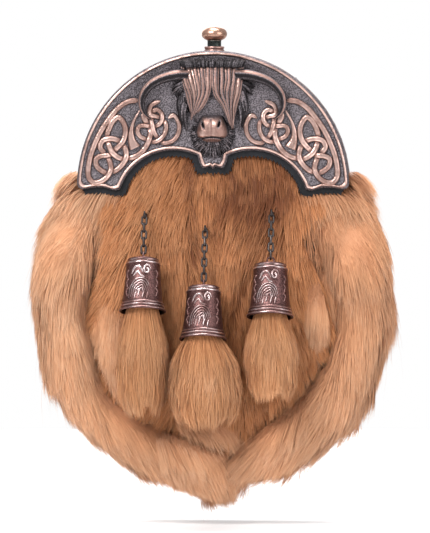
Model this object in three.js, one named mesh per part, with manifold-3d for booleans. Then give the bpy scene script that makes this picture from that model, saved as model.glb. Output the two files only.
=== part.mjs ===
import * as THREE from 'three';
import * as BufferGeometryUtils from 'three/addons/utils/BufferGeometryUtils.js';
import Module from 'manifold-3d';

// A full-dress sporran: a cast cantle over a fur-covered leather pouch, with three chained tassels.
// Millimetres, +Z up. The front faces -Y, so a depth is a distance forward of the back panel's
// outer face. The origin is on that face, midway between the strap loops.

// Clearance between pieces that touch
const GAP = 0.3;
const FINEST = 0.08; // detail below this is dropped where pieces join

// Cantle casting
const CANTLE_R = 75; // radius of the arch
const ARCH_TOP = 33.5; // the arch's top above the hang point
const PLATE_T = 2;
const WALL_T = 1.8; // side wall round the arch
const WALL_D = 6; // how far the wall reaches behind the plate
const RIM_W = 1.9;
const RIM_H = 1.1;
const FOOT_DROP = 76.3; // the feet's lower edge below the arch's top
const CORNER_R = 3.4;
const SCALLOP_R = 31.2;
const SCALLOP_X = 21.5;
const SCALLOP_DROP = 86; // the scallop's centre below the arch's top
const LOBE_HALF = 8.5; // the pointed lobe between the scallops
const LOBE_DROP = 65;
const STRAND_W = 3.7;
const STRAND_H = 1.7;

// Mouth frame and clasp knob
const BAND_T = 1.8;
const BAND_D = 15;
const COLLAR_R = 5.65;
const COLLAR_H = 2.6;
const NECK_R = 3.8;
const NECK_H = 3.1; // shows between the collar and the ball
const NECK_PLAY = 0.4;
const BALL_R = 7.3;
const BALL_H = 7.8;
const KEEPER_R = 5.2;
const KEEPER_T = 1.2;

// Leather
const BACKING_T = 1.3;
const PINK_SHOWS = 4; // how far the pinked edge shows below the cantle
const PINK_DEEP = 1.3;
const PINK_PITCH = 2.3;
const BACK_T = 2.5;
const PANEL_T = 2;
const GUSSET_T = 2;
const POUCH_TOP_SHARE = 0.66; // the front panel's top edge, as a share of the radius down the arch
const POUCH_DROP = 177;
const POUCH_FLARE = 5; // how much wider than the arch the pouch is, at each side
const POUCH_BULGE = 20;

// Fur
const FUR_TOP_T = 4.2; // behind the pinked leather
const FUR_T = 6.5;
const ROLL_PROUD = 20; // how far the roll of fur stands out beside the pouch
const ROLL_D = 47;
const ROLL_HANG = 24; // how far the tuft hangs below the pouch

// Tassels
const WIRE = 0.9;
const LINK_L = 6.2;
const LINK_W = 3.6;
const LINK_PLAY = 0.25;
const EYE_R = 1.9; // to the middle of the wire
const POST_R = 0.9;
const CUP_H = 29.5;
const CUP_TOP_R = 9;
const CUP_FOOT_R = 12.6;
const CUP_WALL = 1.2;
const CUP_TILT = 14; // degrees, the cup's mouth towards the front
const CHAIN_TURN = 2.5; // degrees that each link leans further back than the one below
const PLUME_NECK = 13; // length of the plume's head inside the cup
const PLUME_L = 57; // the longest plume below its cup
const PLUME_HALF = 19.4; // the widest plume's half width
const PLUME_DEEP = 13; // half a plume's depth

// Strap loops
const LOOP_X = 36;
const LOOP_W = 18;
const LOOP_H = 38;
const LOOP_STAND = 5.5; // room for the strap behind the loop
const LOOP_T = 2;
const LOOP_FOOT = 4.5;
const LOOP_SLOPE = 3; // height of the slanted run from a foot to the loop's flat

// Faces round things
const ARCH_STEPS = 13; // half as many as the arch has
const ROUND = 10;
const KNOB_SIDES = 14;
const WIRE_SIDES = 5;
const OUTER_STEPS = 38;
const INNER_STEPS = 24;

// Depths that follow from the sizes above
const BAND_BACK = BACK_T + GAP;
const BAND_FRONT = BAND_BACK + BAND_D;
const WALL_BACK = BAND_FRONT + GAP;
const PLATE_BACK = WALL_BACK + WALL_D;
const FACE = PLATE_BACK + PLATE_T;
const BACKING_BACK = PLATE_BACK - GAP - BACKING_T;
const PANEL_TOP_D = BACKING_BACK - GAP - FUR_TOP_T - GAP - PANEL_T;

// Heights and half widths that follow
const ARCH_MID = ARCH_TOP - CANTLE_R;
const POUCH_TOP = ARCH_TOP - POUCH_TOP_SHARE * CANTLE_R;
const POUCH_HALF = CANTLE_R + POUCH_FLARE;
const ROLL_HALF = POUCH_HALF + ROLL_PROUD;
const ROLL_FOOT = POUCH_TOP - POUCH_DROP - ROLL_HANG;

const wasm = await Module();
wasm.setup();

// Shapes

// Joins shared vertices, drops faces with no area and turns the faces outwards.
function welded(geometry) {
  const bare = new THREE.BufferGeometry();
  bare.setAttribute('position', geometry.attributes.position.clone());
  bare.setIndex(geometry.index);
  const joined = BufferGeometryUtils.mergeVertices(bare, 1e-3);
  const at = (i) => new THREE.Vector3().fromBufferAttribute(joined.attributes.position, i);
  const faces = [];
  let volume = 0;
  for (let i = 0; i < joined.index.count; i += 3) {
    const face = [0, 1, 2].map((k) => joined.index.getX(i + k));
    if (new Set(face).size === 3) {
      faces.push(face);
      volume += at(face[0]).dot(at(face[1]).cross(at(face[2])));
    }
  }
  joined.setIndex((volume > 0 ? faces : faces.map(([a, b, c]) => [a, c, b])).flat());
  return joined;
}

function solidOf(geometry) {
  const joined = welded(geometry);
  return new wasm.Manifold(new wasm.Mesh({
    numProp: 3,
    vertProperties: new Float32Array(joined.attributes.position.array),
    triVerts: new Uint32Array(joined.index.array),
  }));
}

function geometryOf(solid) {
  const mesh = solid.getMesh();
  const geometry = new THREE.BufferGeometry();
  geometry.setAttribute('position', new THREE.BufferAttribute(mesh.vertProperties, 3));
  geometry.setIndex(new THREE.BufferAttribute(mesh.triVerts, 1));
  return geometry;
}

const fused = (geometries) => geometries.map(solidOf).reduce((all, one) => all.add(one));

// The outer skin alone, without the pockets that joined pieces close in between them, nor detail finer
// than FINEST
const solidThrough = (solid) => solidOf(geometryOf(solid.simplify(FINEST))).decompose()
  .reduce((all, one) => (one.volume() > all.volume() ? one : all));

// A skin over rings of points. It is closed at both ends, or back to the first ring if looped is set.
// flat closes the ends with the rings' own outline, seen from the front, and not with a fan.
function skin(rings, { looped = false, flat = false } = {}) {
  const n = rings[0].length;
  const points = rings.flat();
  const faces = [];
  const last = looped ? rings.length : rings.length - 1;
  for (let i = 0; i < last; i += 1) {
    const a = i * n;
    const b = ((i + 1) % rings.length) * n;
    for (let j = 0; j < n; j += 1) {
      const k = (j + 1) % n;
      faces.push(a + j, a + k, b + k, a + j, b + k, b + j);
    }
  }
  const close = (start, reversed) => {
    const add = (p, q, r) => faces.push(...(reversed ? [p, r, q] : [p, q, r]));
    const ring = points.slice(start, start + n);
    if (flat) {
      const outline = ring.map((p) => new THREE.Vector2(p.x, p.z));
      const clockwise = THREE.ShapeUtils.isClockWise(outline);
      THREE.ShapeUtils.triangulateShape(outline, []).forEach((face) => {
        const [p, q, r] = face.map((i) => start + i);
        const same = THREE.ShapeUtils.isClockWise(face.map((i) => outline[i])) === clockwise;
        add(p, same ? q : r, same ? r : q);
      });
      return;
    }
    const middle = points.push(ring.reduce((s, p) => s.add(p), new THREE.Vector3()).divideScalar(n)) - 1;
    ring.forEach((_, j) => add(middle, start + j, start + ((j + 1) % n)));
  };
  if (!looped) {
    close(0, true);
    close((rings.length - 1) * n, false);
  }
  const geometry = new THREE.BufferGeometry();
  geometry.setAttribute('position', new THREE.Float32BufferAttribute(points.flatMap((p) => [p.x, p.y, p.z]), 3));
  geometry.setIndex(faces);
  return geometry;
}

// A tapering lock, horn or limb along points that each hold x, z, a depth, a width and a thickness.
function limb(points, sides) {
  const places = points.map((p) => new THREE.Vector3(p.x, -p.depth, p.z));
  return skin(places.map((place, i) => {
    const before = places[Math.max(i - 1, 0)];
    const after = places[Math.min(i + 1, places.length - 1)];
    const along = after.clone().sub(before).normalize();
    const across = new THREE.Vector3(0, 1, 0).cross(along).normalize();
    const out = along.clone().cross(across);
    return Array.from({ length: sides }, (_, j) => {
      const angle = (2 * Math.PI * j) / sides;
      return place.clone()
        .addScaledVector(across, (Math.cos(angle) * points[i].wide) / 2)
        .addScaledVector(out, (Math.sin(angle) * points[i].thick) / 2);
    });
  }));
}

// A solid turned about the Z axis from points of radius and height
function turned(profile, sides = ROUND) {
  const points = profile.map(([r, h]) => new THREE.Vector2(r, h));
  return new THREE.LatheGeometry(points, sides).rotateX(Math.PI / 2);
}

// A flat shape of x and z, made solid between two depths
function sheet(shape, back, front) {
  const settings = { depth: front - back, bevelEnabled: false, curveSegments: ARCH_STEPS };
  return new THREE.ExtrudeGeometry(shape, settings).rotateX(Math.PI / 2).translate(0, -back, 0);
}

function ball(x, z, depth, halfWide, halfHigh, halfDeep, sides = ROUND) {
  return new THREE.SphereGeometry(1, sides, sides / 2 + 1)
    .scale(halfWide, halfDeep, halfHigh)
    .translate(x, -depth, z);
}

const mix = (a, b, share) => a + (b - a) * share;
const between = (a, b, share) => ({ x: mix(a.x, b.x, share), z: mix(a.z, b.z, share) });

// One column of a table at a share of the way down, on straight lines between its rows
function column(table, name, down) {
  const next = Math.max(table.findIndex((row) => row.down >= down), 1);
  const [a, b] = [table[next - 1], table[next]];
  return mix(a[name], b[name], (down - a.down) / (b.down - a.down));
}

// Cantle outline. Every inset gives the same number of points, so outlines can be skinned.

// The lower edge from the middle of the lobe to the foot's outer corner
function lowerEdge(inset) {
  const lobe = [[0, 0], [0.14, 1.1], [0.62, 0.4], [0.82, 2.2]];
  const points = lobe.map(([x, rise]) => [x * (LOBE_HALF - inset), inset + rise - LOBE_DROP]);
  const r = SCALLOP_R + inset;
  const footZ = inset - FOOT_DROP;
  const start = Math.acos(THREE.MathUtils.clamp((LOBE_HALF - inset - SCALLOP_X) / r, -1, 1));
  const end = Math.asin(THREE.MathUtils.clamp((footZ + SCALLOP_DROP) / r, -1, 1));
  const steps = 7;
  for (let i = 0; i <= steps; i += 1) {
    const angle = mix(start, end, i / steps);
    points.push([SCALLOP_X + r * Math.cos(angle), r * Math.sin(angle) - SCALLOP_DROP]);
  }
  const from = points[points.length - 1][0];
  const to = CANTLE_R - inset - CORNER_R;
  [[0.15, -0.6], [0.42, 0.9], [0.72, 0.9]].forEach(([x, rise]) => points.push([mix(from, to, x), footZ + rise]));
  [-90, -55, -20].forEach((degrees) => {
    const angle = THREE.MathUtils.degToRad(degrees);
    points.push([to + CORNER_R * Math.cos(angle), footZ + CORNER_R * (1 + Math.sin(angle))]);
  });
  return points;
}

// The whole outline, counterclockwise from the right foot, as x and a height below the arch's top
function cantleOutline(inset) {
  const right = lowerEdge(inset);
  const r = CANTLE_R - inset;
  const start = Math.asin((CANTLE_R - FOOT_DROP + inset + CORNER_R) / r);
  const arch = Array.from({ length: 2 * ARCH_STEPS + 1 }, (_, i) => {
    const angle = mix(start, Math.PI - start, i / (2 * ARCH_STEPS));
    return [r * Math.cos(angle), r * Math.sin(angle) - CANTLE_R];
  });
  const left = right.slice(1).reverse().map(([x, z]) => [-x, z]);
  return [...arch, ...left, ...right];
}

function cantleRing(inset, depth) {
  return cantleOutline(inset).map(([x, z]) => new THREE.Vector3(x, -depth, ARCH_TOP + z));
}

function archStrip(thick) {
  const shape = new THREE.Shape();
  shape.absarc(0, ARCH_MID, CANTLE_R, 0, Math.PI, false);
  shape.absarc(0, ARCH_MID, CANTLE_R - thick, Math.PI, 0, true);
  return shape;
}

// Interlace. Places are in hundredths of the arch's radius: x from the middle, and a drop from the top.

const OUTER_KNOT = [
  [54, 36.4], [61.6, 37.2], [69.2, 41.9], [76, 49.9], [81.9, 58.7], [86, 67.1], [89.5, 76.4], [91.3, 85.6],
  [91.1, 92.4], [87.7, 96.5], [81.9, 95.7], [76.8, 91.5], [74.7, 85.6], [76.8, 78.9], [80.5, 73.9],
  [82.7, 70.5], [80.5, 65.9], [75.1, 64.5], [70.1, 65.5], [65.9, 68.8], [63.7, 73.1], [63.7, 78.9],
  [67.1, 84.4], [71.7, 88.1], [76, 89.5], [80.5, 88.5], [85.2, 84.4], [85.6, 79.3], [81.5, 77.1],
  [75.1, 76.3], [70.9, 72.1], [65.9, 66.3], [64, 58.7], [65.9, 52], [69.2, 48.7], [73.1, 51.6],
  [76, 57.1], [77.5, 62.1], [76.8, 67.1], [74.7, 73.1], [70.9, 77.2], [66.3, 79.3], [60, 78.5],
  [54.1, 76], [49.1, 70.5], [46.1, 63.7], [45.8, 58.5], [48, 53.5], [52, 46.5],
];
const INNER_KNOT = [
  [32.5, 49.5], [28.6, 47.3], [24.9, 52.7], [24.9, 59.6], [28.7, 65.5], [35.9, 67.6], [41.7, 62.1],
  [43.9, 56.3], [45.1, 47.3], [43.5, 44.4], [40.9, 43.2], [37.5, 46.1], [37.1, 50.3], [40, 54.5],
  [45.1, 55.3], [53.5, 55.3], [55.2, 58.8], [53.5, 62.5], [49.3, 64.7], [44.3, 66.8], [40, 65.9],
  [35.9, 62.1], [34.1, 56.3], [35.5, 51.2], [40.9, 48.3], [46, 46.8], [45.1, 40.3], [38.4, 36.8],
];
const CRESCENT = [
  { x: 53.5, drop: 44, wide: 1.4 }, { x: 57.6, drop: 51, wide: 1.8 }, { x: 59.8, drop: 59, wide: 3.2 },
  { x: 59.3, drop: 66, wide: 5.2 }, { x: 57, drop: 71.4, wide: 7.6 },
];
const reliefX = (x) => (x * CANTLE_R) / 100;
const reliefZ = (drop) => ARCH_TOP - (drop * CANTLE_R) / 100;

function smoothPath(table, steps) {
  const curve = new THREE.SplineCurve(table.map(([x, drop]) => new THREE.Vector2(reliefX(x), reliefZ(drop))));
  return curve.getSpacedPoints(steps);
}

// Where the segments p-q and r-s cross, as shares along each, or null
function crossing(p, q, r, s) {
  const d = q.clone().sub(p);
  const e = s.clone().sub(r);
  const turn = d.cross(e);
  const t = r.clone().sub(p).cross(e) / turn;
  const u = r.clone().sub(p).cross(d) / turn;
  return t >= 0 && t < 1 && u >= 0 && u < 1 ? [t, u] : null;
}

// For each path, the steps at which it passes under. Every strand goes over and under by turns.
function underpasses(paths) {
  const passes = paths.map(() => []);
  paths.forEach((path, a) => path.slice(0, -1).forEach((_, i) => {
    paths.slice(a).forEach((other, more) => {
      for (let j = more ? 0 : i + 2; j < other.length - 1; j += 1) {
        const hit = crossing(path[i], path[i + 1], other[j], other[j + 1]);
        if (hit) {
          const first = { at: i + hit[0] };
          const second = { at: j + hit[1], partner: first };
          first.partner = second;
          passes[a].push(first);
          passes[a + more].push(second);
        }
      }
    });
  }));
  passes.forEach((list) => {
    list.sort((p, q) => p.at - q.at);
    const agrees = (p, k) => (p.partner.over === undefined ? 0 : (p.partner.over ? -1 : 1) * (k % 2 ? -1 : 1));
    const starts = list.reduce((sum, p, k) => sum + agrees(p, k), 0) >= 0 ? 0 : 1;
    list.forEach((pass, k) => { pass.over = (k + starts) % 2 === 0; });
  });
  passes.slice(1).forEach((list) => list.forEach((pass) => { pass.over = !pass.partner.over; }));
  return passes.map((list) => list.filter((pass) => !pass.over).map((pass) => pass.at));
}

function strand(path, wideAt, heightAt) {
  return skin(path.map((point, i) => {
    const before = path[Math.max(i - 1, 0)];
    const after = path[Math.min(i + 1, path.length - 1)];
    const side = new THREE.Vector2(before.y - after.y, after.x - before.x).normalize();
    const half = wideAt(i) / 2;
    const sunk = FACE - PLATE_T / 4;
    return [[-1, sunk], [-0.62, FACE + heightAt(i)], [0.62, FACE + heightAt(i)], [1, sunk]]
      .map(([share, depth]) => new THREE.Vector3(
        point.x + side.x * half * share,
        -depth,
        point.y + side.y * half * share,
      ));
  }));
}

function interlace() {
  const paths = [smoothPath(OUTER_KNOT, OUTER_STEPS), smoothPath(INNER_KNOT, INNER_STEPS)];
  const dips = underpasses(paths);
  const woven = paths.map((path, p) => {
    const reach = STRAND_W / path[0].distanceTo(path[1]);
    const height = (i) => dips[p].reduce((h, at) => {
      const away = Math.min(Math.abs(i - at) / reach, 1);
      return Math.min(h, mix(0.35, STRAND_H, (1 - Math.cos(Math.PI * away)) / 2));
    }, STRAND_H);
    return strand(path, () => (p ? STRAND_W * 0.82 : STRAND_W), height);
  });
  const crescent = strand(
    CRESCENT.map((row) => new THREE.Vector2(reliefX(row.x), reliefZ(row.drop))),
    (i) => (CRESCENT[i].wide * CANTLE_R) / 75,
    () => STRAND_H,
  );
  const right = [...woven, crescent];
  return [...right, ...right.map((geometry) => geometry.clone().scale(-1, 1, 1))];
}

// Highland cow head, in hundredths of the radius too, with lift as the height above the plate

const HORN = [
  { x: 19, drop: 17.5, wide: 8, lift: 3.6 }, { x: 32, drop: 18.8, wide: 7.6, lift: 4 },
  { x: 44.3, drop: 24.3, wide: 7, lift: 4.2 }, { x: 50.9, drop: 32.4, wide: 6, lift: 4 },
  { x: 51.7, drop: 40.5, wide: 4.6, lift: 3.6 }, { x: 44.9, drop: 50, wide: 0.8, lift: 3 },
];
const EAR = [
  { x: 18, drop: 23, wide: 6, lift: 2.6 }, { x: 28, drop: 29, wide: 10, lift: 2.6 }, { x: 37, drop: 39, wide: 1, lift: 1.6 },
];

function reliefLimb(rows, sides, side = 1) {
  return limb(rows.map((row) => ({
    x: reliefX(row.x) * side,
    z: reliefZ(row.drop),
    depth: FACE + row.lift,
    wide: reliefX(row.wide),
    thick: reliefX(row.wide) * (row.flat ?? 0.9),
  })), sides);
}

function cowHead() {
  const parts = [
    ball(0, reliefZ(36), FACE, reliefX(20), reliefX(25), 6.2, 7),
    ball(0, reliefZ(57.5), FACE + 1.5, reliefX(13), reliefX(11.5), 7.2, 8),
  ];
  [-1, 1].forEach((side) => {
    parts.push(reliefLimb(HORN, 5, side));
    parts.push(reliefLimb(EAR.map((row) => ({ ...row, flat: 0.4 })), 4, side));
    const gather = side < 0 ? { x: 17, drop: 53 } : { x: 14, drop: 55.5 };
    const locks = 3;
    for (let k = 0; k < locks; k += 1) {
      const share = k / (locks - 1);
      const top = mix(3, 19, share);
      parts.push(reliefLimb([
        { x: top, drop: 13, wide: 4.6, lift: 3.5 },
        { x: top + 1, drop: 30, wide: 5, lift: 6 },
        { x: mix(top, gather.x, 0.75), drop: 44, wide: 4.2, lift: 7.4 - 1.5 * share },
        { x: gather.x + share, drop: gather.drop + 2 * share, wide: 1.2, lift: 6.2 },
      ], 4, side));
    }
    parts.push(reliefLimb([
      { x: 20, drop: 31, wide: 7, lift: 2 }, { x: 21, drop: 53, wide: 1, lift: 1.6 },
    ], 4, side));
  });
  const beardLocks = 4;
  for (let k = 0; k < beardLocks; k += 1) {
    const angle = mix(-1.35, 1.35, k / (beardLocks - 1));
    const reach = (r) => ({ x: r * Math.sin(angle), drop: 61 + r * Math.cos(angle) });
    parts.push(reliefLimb([
      { ...reach(6), wide: 8, lift: 2.6 }, { ...reach(19), wide: 2, lift: 0.8 },
    ], 4));
  }
  const crestLocks = 3;
  for (let k = 0; k < crestLocks; k += 1) {
    const x = mix(-19, 19, k / (crestLocks - 1));
    parts.push(reliefLimb([
      { x: x * 0.9, drop: 16, wide: 6, lift: 3 }, { x: x * 1.1, drop: 7.5, wide: 1, lift: 1 },
    ], 4));
  }
  const nostrils = [-1, 1].map((side) => ball(side * reliefX(6.5), reliefZ(55), FACE + 8.4, 1.2, 1.7, 1.2, 6));
  const inFront = new THREE.BoxGeometry(2 * CANTLE_R, CANTLE_R, 2 * CANTLE_R)
    .translate(0, -(FACE - PLATE_T / 2 + CANTLE_R / 2), ARCH_MID);
  const head = fused(parts).intersect(solidOf(inFront));
  return nostrils.reduce((rest, nostril) => rest.subtract(solidOf(nostril)), head);
}

function cantle() {
  const plate = skin([
    cantleRing(0, PLATE_BACK),
    cantleRing(0, FACE),
    cantleRing(RIM_W / 3, FACE + RIM_H),
    cantleRing(RIM_W, FACE + RIM_H),
    cantleRing(RIM_W * 1.25, FACE),
  ], { flat: true });
  const wall = sheet(archStrip(WALL_T), WALL_BACK, PLATE_BACK + PLATE_T / 2);
  return solidThrough(fused([plate, wall, ...interlace()]).add(cowHead()));
}

// Mouth frame, with the collar brazed on its top, and the clasp knob in the collar's bore

const KNOB_DEPTH = BAND_BACK + BAND_D * 0.6;
const COLLAR_TOP = ARCH_TOP + COLLAR_H;
const BAND_UNDER = ARCH_TOP - BAND_T;
const BORE_R = NECK_R + NECK_PLAY;

function frameBand() {
  const collar = turned([
    [0, BAND_UNDER + BAND_T / 3], [COLLAR_R, BAND_UNDER + BAND_T / 3], [COLLAR_R, COLLAR_TOP - COLLAR_H / 4],
    [COLLAR_R * 0.92, COLLAR_TOP], [0, COLLAR_TOP],
  ], KNOB_SIDES).translate(0, -KNOB_DEPTH, 0);
  const bore = turned([
    [0, BAND_UNDER - COLLAR_H], [BORE_R, BAND_UNDER - COLLAR_H], [BORE_R, COLLAR_TOP + COLLAR_H], [0, COLLAR_TOP + COLLAR_H],
  ], KNOB_SIDES).translate(0, -KNOB_DEPTH, 0);
  return fused([sheet(archStrip(BAND_T), BAND_BACK, BAND_FRONT), collar]).subtract(solidOf(bore));
}

function knob() {
  const low = COLLAR_TOP + NECK_H;
  const ballSteps = 5;
  const round = Array.from({ length: ballSteps + 1 }, (_, i) => {
    const angle = mix(-1.1, Math.PI / 2, i / ballSteps);
    const r = i === ballSteps ? 0 : BALL_R * Math.cos(angle) ** 0.85;
    return [r, low + (BALL_H * (Math.sin(angle) + Math.sin(1.1))) / (1 + Math.sin(1.1))];
  });
  const keeperTop = BAND_UNDER - GAP - KEEPER_R ** 2 / (2 * (CANTLE_R - BAND_T));
  return turned([
    [0, keeperTop - KEEPER_T], [KEEPER_R, keeperTop - KEEPER_T], [KEEPER_R, keeperTop],
    [NECK_R, keeperTop], [NECK_R, low], ...round,
  ], KNOB_SIDES);
}

// Pouch. Down is a share of its height, half of its half width, edge and middle of its bulge.

const POUCH = [
  { down: 0, half: 0.75, edge: 0, middle: 0 },
  { down: 0.08, half: 0.85, edge: 0, middle: 0.02 },
  { down: 0.165, half: 0.89, edge: 0.02, middle: 0.16 },
  { down: 0.25, half: 0.925, edge: 0.08, middle: 0.46 },
  { down: 0.36, half: 0.975, edge: 0.22, middle: 0.76 },
  { down: 0.475, half: 1, edge: 0.32, middle: 0.94 },
  { down: 0.615, half: 0.985, edge: 0.42, middle: 1 },
  { down: 0.755, half: 0.89, edge: 0.46, middle: 0.95 },
  { down: 0.87, half: 0.71, edge: 0.46, middle: 0.8 },
  { down: 0.935, half: 0.54, edge: 0.46, middle: 0.66 },
  { down: 0.975, half: 0.35, edge: 0.46, middle: 0.55 },
  { down: 1, half: 0.12, edge: 0.46, middle: 0.48 },
];
const pouchZ = (down) => POUCH_TOP - POUCH_DROP * down;
const pouchDown = (z) => (POUCH_TOP - z) / POUCH_DROP;

// Depth of the front panel's inner face, across from -1 to 1
function panelDepth(row, across) {
  const crown = Math.max(1 - across * across, 0) ** 0.8;
  return PANEL_TOP_D + POUCH_BULGE * mix(row.edge, row.middle, crown);
}

function pouchRow(down) {
  const row = { down };
  ['half', 'edge', 'middle'].forEach((name) => { row[name] = column(POUCH, name, down); });
  return row;
}

// A layer that lies on the front panel's inner face, between two distances in front of it
function layer(rows, reach, steps, back, front) {
  return skin(rows.map((row) => {
    const face = (offset) => Array.from({ length: steps + 1 }, (_, i) => {
      const across = mix(-reach, reach, i / steps);
      const depth = panelDepth(row, across) + offset(row, across, i);
      return new THREE.Vector3(across * row.half * POUCH_HALF, -depth, pouchZ(row.down));
    });
    return [...face(front), ...face(back).reverse()];
  }));
}

const PANEL_STEPS = 6;
const frontPanel = () => layer(POUCH, 1, PANEL_STEPS, () => 0, () => PANEL_T);

function gusset() {
  const side = POUCH.slice(2);
  const path = [
    ...side.map((row) => ({ x: -row.half * POUCH_HALF, row })),
    ...side.slice().reverse().map((row) => ({ x: row.half * POUCH_HALF, row })),
  ].map(({ x, row }) => ({ x, z: pouchZ(row.down), front: panelDepth(row, 1) - GAP }));
  return skin(path.map((point, i) => {
    const before = path[Math.max(i - 1, 0)];
    const after = path[Math.min(i + 1, path.length - 1)];
    const inward = new THREE.Vector2(before.z - after.z, after.x - before.x).normalize();
    return [[0, BAND_BACK], [1, BAND_BACK], [1, point.front], [0, point.front]].map(([share, depth]) => (
      new THREE.Vector3(point.x + inward.x * GUSSET_T * share, -depth, point.z + inward.y * GUSSET_T * share)
    ));
  }));
}

function backPanel() {
  const shape = new THREE.Shape();
  shape.absarc(0, ARCH_MID, CANTLE_R, 0, Math.PI, false);
  const side = POUCH.slice(4);
  side.forEach((row) => shape.lineTo(-row.half * POUCH_HALF, pouchZ(row.down)));
  side.slice().reverse().forEach((row) => shape.lineTo(row.half * POUCH_HALF, pouchZ(row.down)));
  return sheet(shape, 0, BACK_T);
}

// The leather pouch as one block, a little larger, to cut the fur that lies round it
function pouchBlock() {
  const foot = { ...POUCH[POUCH.length - 1], down: 1 + GAP / POUCH_DROP };
  return skin([...POUCH, foot].map((row) => {
    const half = row.half * POUCH_HALF;
    const at = (x, depth) => new THREE.Vector3(x, -depth, pouchZ(row.down));
    const front = Array.from({ length: PANEL_STEPS + 1 }, (_, i) => {
      const across = mix(-1, 1, i / PANEL_STEPS);
      return at(across * half, panelDepth(row, across) + PANEL_T + GAP);
    });
    const side = half + GAP;
    const edge = panelDepth(row, 1) + PANEL_T;
    return [...front, at(side, edge), at(side, -BACK_T), at(-side, -BACK_T), at(-side, edge)];
  }));
}

function pinkedBacking() {
  const teethEdge = (inset) => new THREE.CatmullRomCurve3(
    lowerEdge(inset).map(([x, z]) => new THREE.Vector3(x, z, 0)),
    false,
    'centripetal',
  );
  const [tips, roots] = [teethEdge(-PINK_SHOWS), teethEdge(PINK_DEEP - PINK_SHOWS)];
  const count = 2 * Math.round(tips.getLength() / PINK_PITCH);
  const inner = CANTLE_R - WALL_T - GAP;
  const right = Array.from({ length: count + 1 }, (_, i) => (i % 2 ? roots : tips).getPointAt(i / count))
    .filter((p) => p.x < inner - PINK_PITCH / 2);
  const start = Math.asin((CANTLE_R - FOOT_DROP + PINK_DEEP) / inner);
  const shape = new THREE.Shape();
  shape.absarc(0, -CANTLE_R, inner, start, Math.PI - start, false);
  right.slice(1).reverse().forEach((p) => shape.lineTo(-p.x, p.y));
  right.forEach((p) => shape.lineTo(p.x, p.y));
  return sheet(shape, BACKING_BACK, BACKING_BACK + BACKING_T).translate(0, 0, ARCH_TOP);
}

// What the cantle and its pinked edge take up, forward of a depth, to cut the fur below them
function cantleBlock(depth) {
  const grown = -PINK_SHOWS - GAP;
  return skin([cantleRing(grown, depth), cantleRing(grown, FACE + ROLL_D)], { flat: true });
}

// Rolls of fur. Each row is one section: its outer and inner ends, as shares of the roll's half width
// and of the drop from the arch's top to the tuft's tip, and its depth as a share of the roll's.

const LEFT_ROLL = [
  { outX: 0.792, outDrop: 0.285, inX: 0.778, inDrop: 0.293, deep: 0.12 },
  { outX: 0.86, outDrop: 0.306, inX: 0.66, inDrop: 0.338, deep: 0.6 },
  { outX: 0.91, outDrop: 0.34, inX: 0.6, inDrop: 0.366, deep: 0.84 },
  { outX: 0.95, outDrop: 0.396, inX: 0.615, inDrop: 0.403, deep: 0.94 },
  { outX: 0.99, outDrop: 0.46, inX: 0.63, inDrop: 0.46, deep: 1 },
  { outX: 1, outDrop: 0.524, inX: 0.65, inDrop: 0.524, deep: 1 },
  { outX: 0.99, outDrop: 0.58, inX: 0.66, inDrop: 0.576, deep: 0.97 },
  { outX: 0.975, outDrop: 0.648, inX: 0.63, inDrop: 0.62, deep: 1 },
  { outX: 0.94, outDrop: 0.716, inX: 0.6, inDrop: 0.68, deep: 1 },
  { outX: 0.86, outDrop: 0.78, inX: 0.56, inDrop: 0.724, deep: 0.98 },
  { outX: 0.74, outDrop: 0.838, inX: 0.48, inDrop: 0.76, deep: 0.96 },
  { outX: 0.6, outDrop: 0.886, inX: 0.38, inDrop: 0.784, deep: 0.94 },
  { outX: 0.43, outDrop: 0.932, inX: 0.24, inDrop: 0.804, deep: 0.92 },
  { outX: 0.24, outDrop: 0.962, inX: 0.1, inDrop: 0.824, deep: 0.9 },
  { outX: 0.02, outDrop: 1, inX: -0.01, inDrop: 0.836, deep: 0.84 },
  { outX: -0.116, outDrop: 0.976, inX: -0.114, inDrop: 0.85, deep: 0.6 },
];
const RIGHT_ROLL = [
  { outX: 0.792, outDrop: 0.28, inX: 0.778, inDrop: 0.288, deep: 0.12 },
  { outX: 0.86, outDrop: 0.302, inX: 0.64, inDrop: 0.338, deep: 0.6 },
  { outX: 0.91, outDrop: 0.34, inX: 0.55, inDrop: 0.36, deep: 0.84 },
  { outX: 0.955, outDrop: 0.398, inX: 0.53, inDrop: 0.392, deep: 0.92 },
  { outX: 0.972, outDrop: 0.458, inX: 0.57, inDrop: 0.448, deep: 0.98 },
  { outX: 0.995, outDrop: 0.52, inX: 0.63, inDrop: 0.504, deep: 1 },
  { outX: 1.008, outDrop: 0.58, inX: 0.66, inDrop: 0.568, deep: 0.97 },
  { outX: 0.985, outDrop: 0.632, inX: 0.64, inDrop: 0.62, deep: 1 },
  { outX: 0.945, outDrop: 0.688, inX: 0.59, inDrop: 0.668, deep: 1 },
  { outX: 0.91, outDrop: 0.748, inX: 0.5, inDrop: 0.712, deep: 0.98 },
  { outX: 0.82, outDrop: 0.812, inX: 0.42, inDrop: 0.748, deep: 0.96 },
  { outX: 0.66, outDrop: 0.876, inX: 0.34, inDrop: 0.774, deep: 0.94 },
  { outX: 0.48, outDrop: 0.916, inX: 0.26, inDrop: 0.798, deep: 0.92 },
  { outX: 0.3, outDrop: 0.942, inX: 0.19, inDrop: 0.82, deep: 0.9 },
  { outX: 0.135, outDrop: 0.962, inX: 0.13, inDrop: 0.84, deep: 0.7 },
];
const ROLL_STRIPS = 6;

function rollPlace(x, drop, side) {
  return new THREE.Vector3(side * x * ROLL_HALF, 0, ARCH_TOP - drop * (ARCH_TOP - ROLL_FOOT));
}

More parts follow.
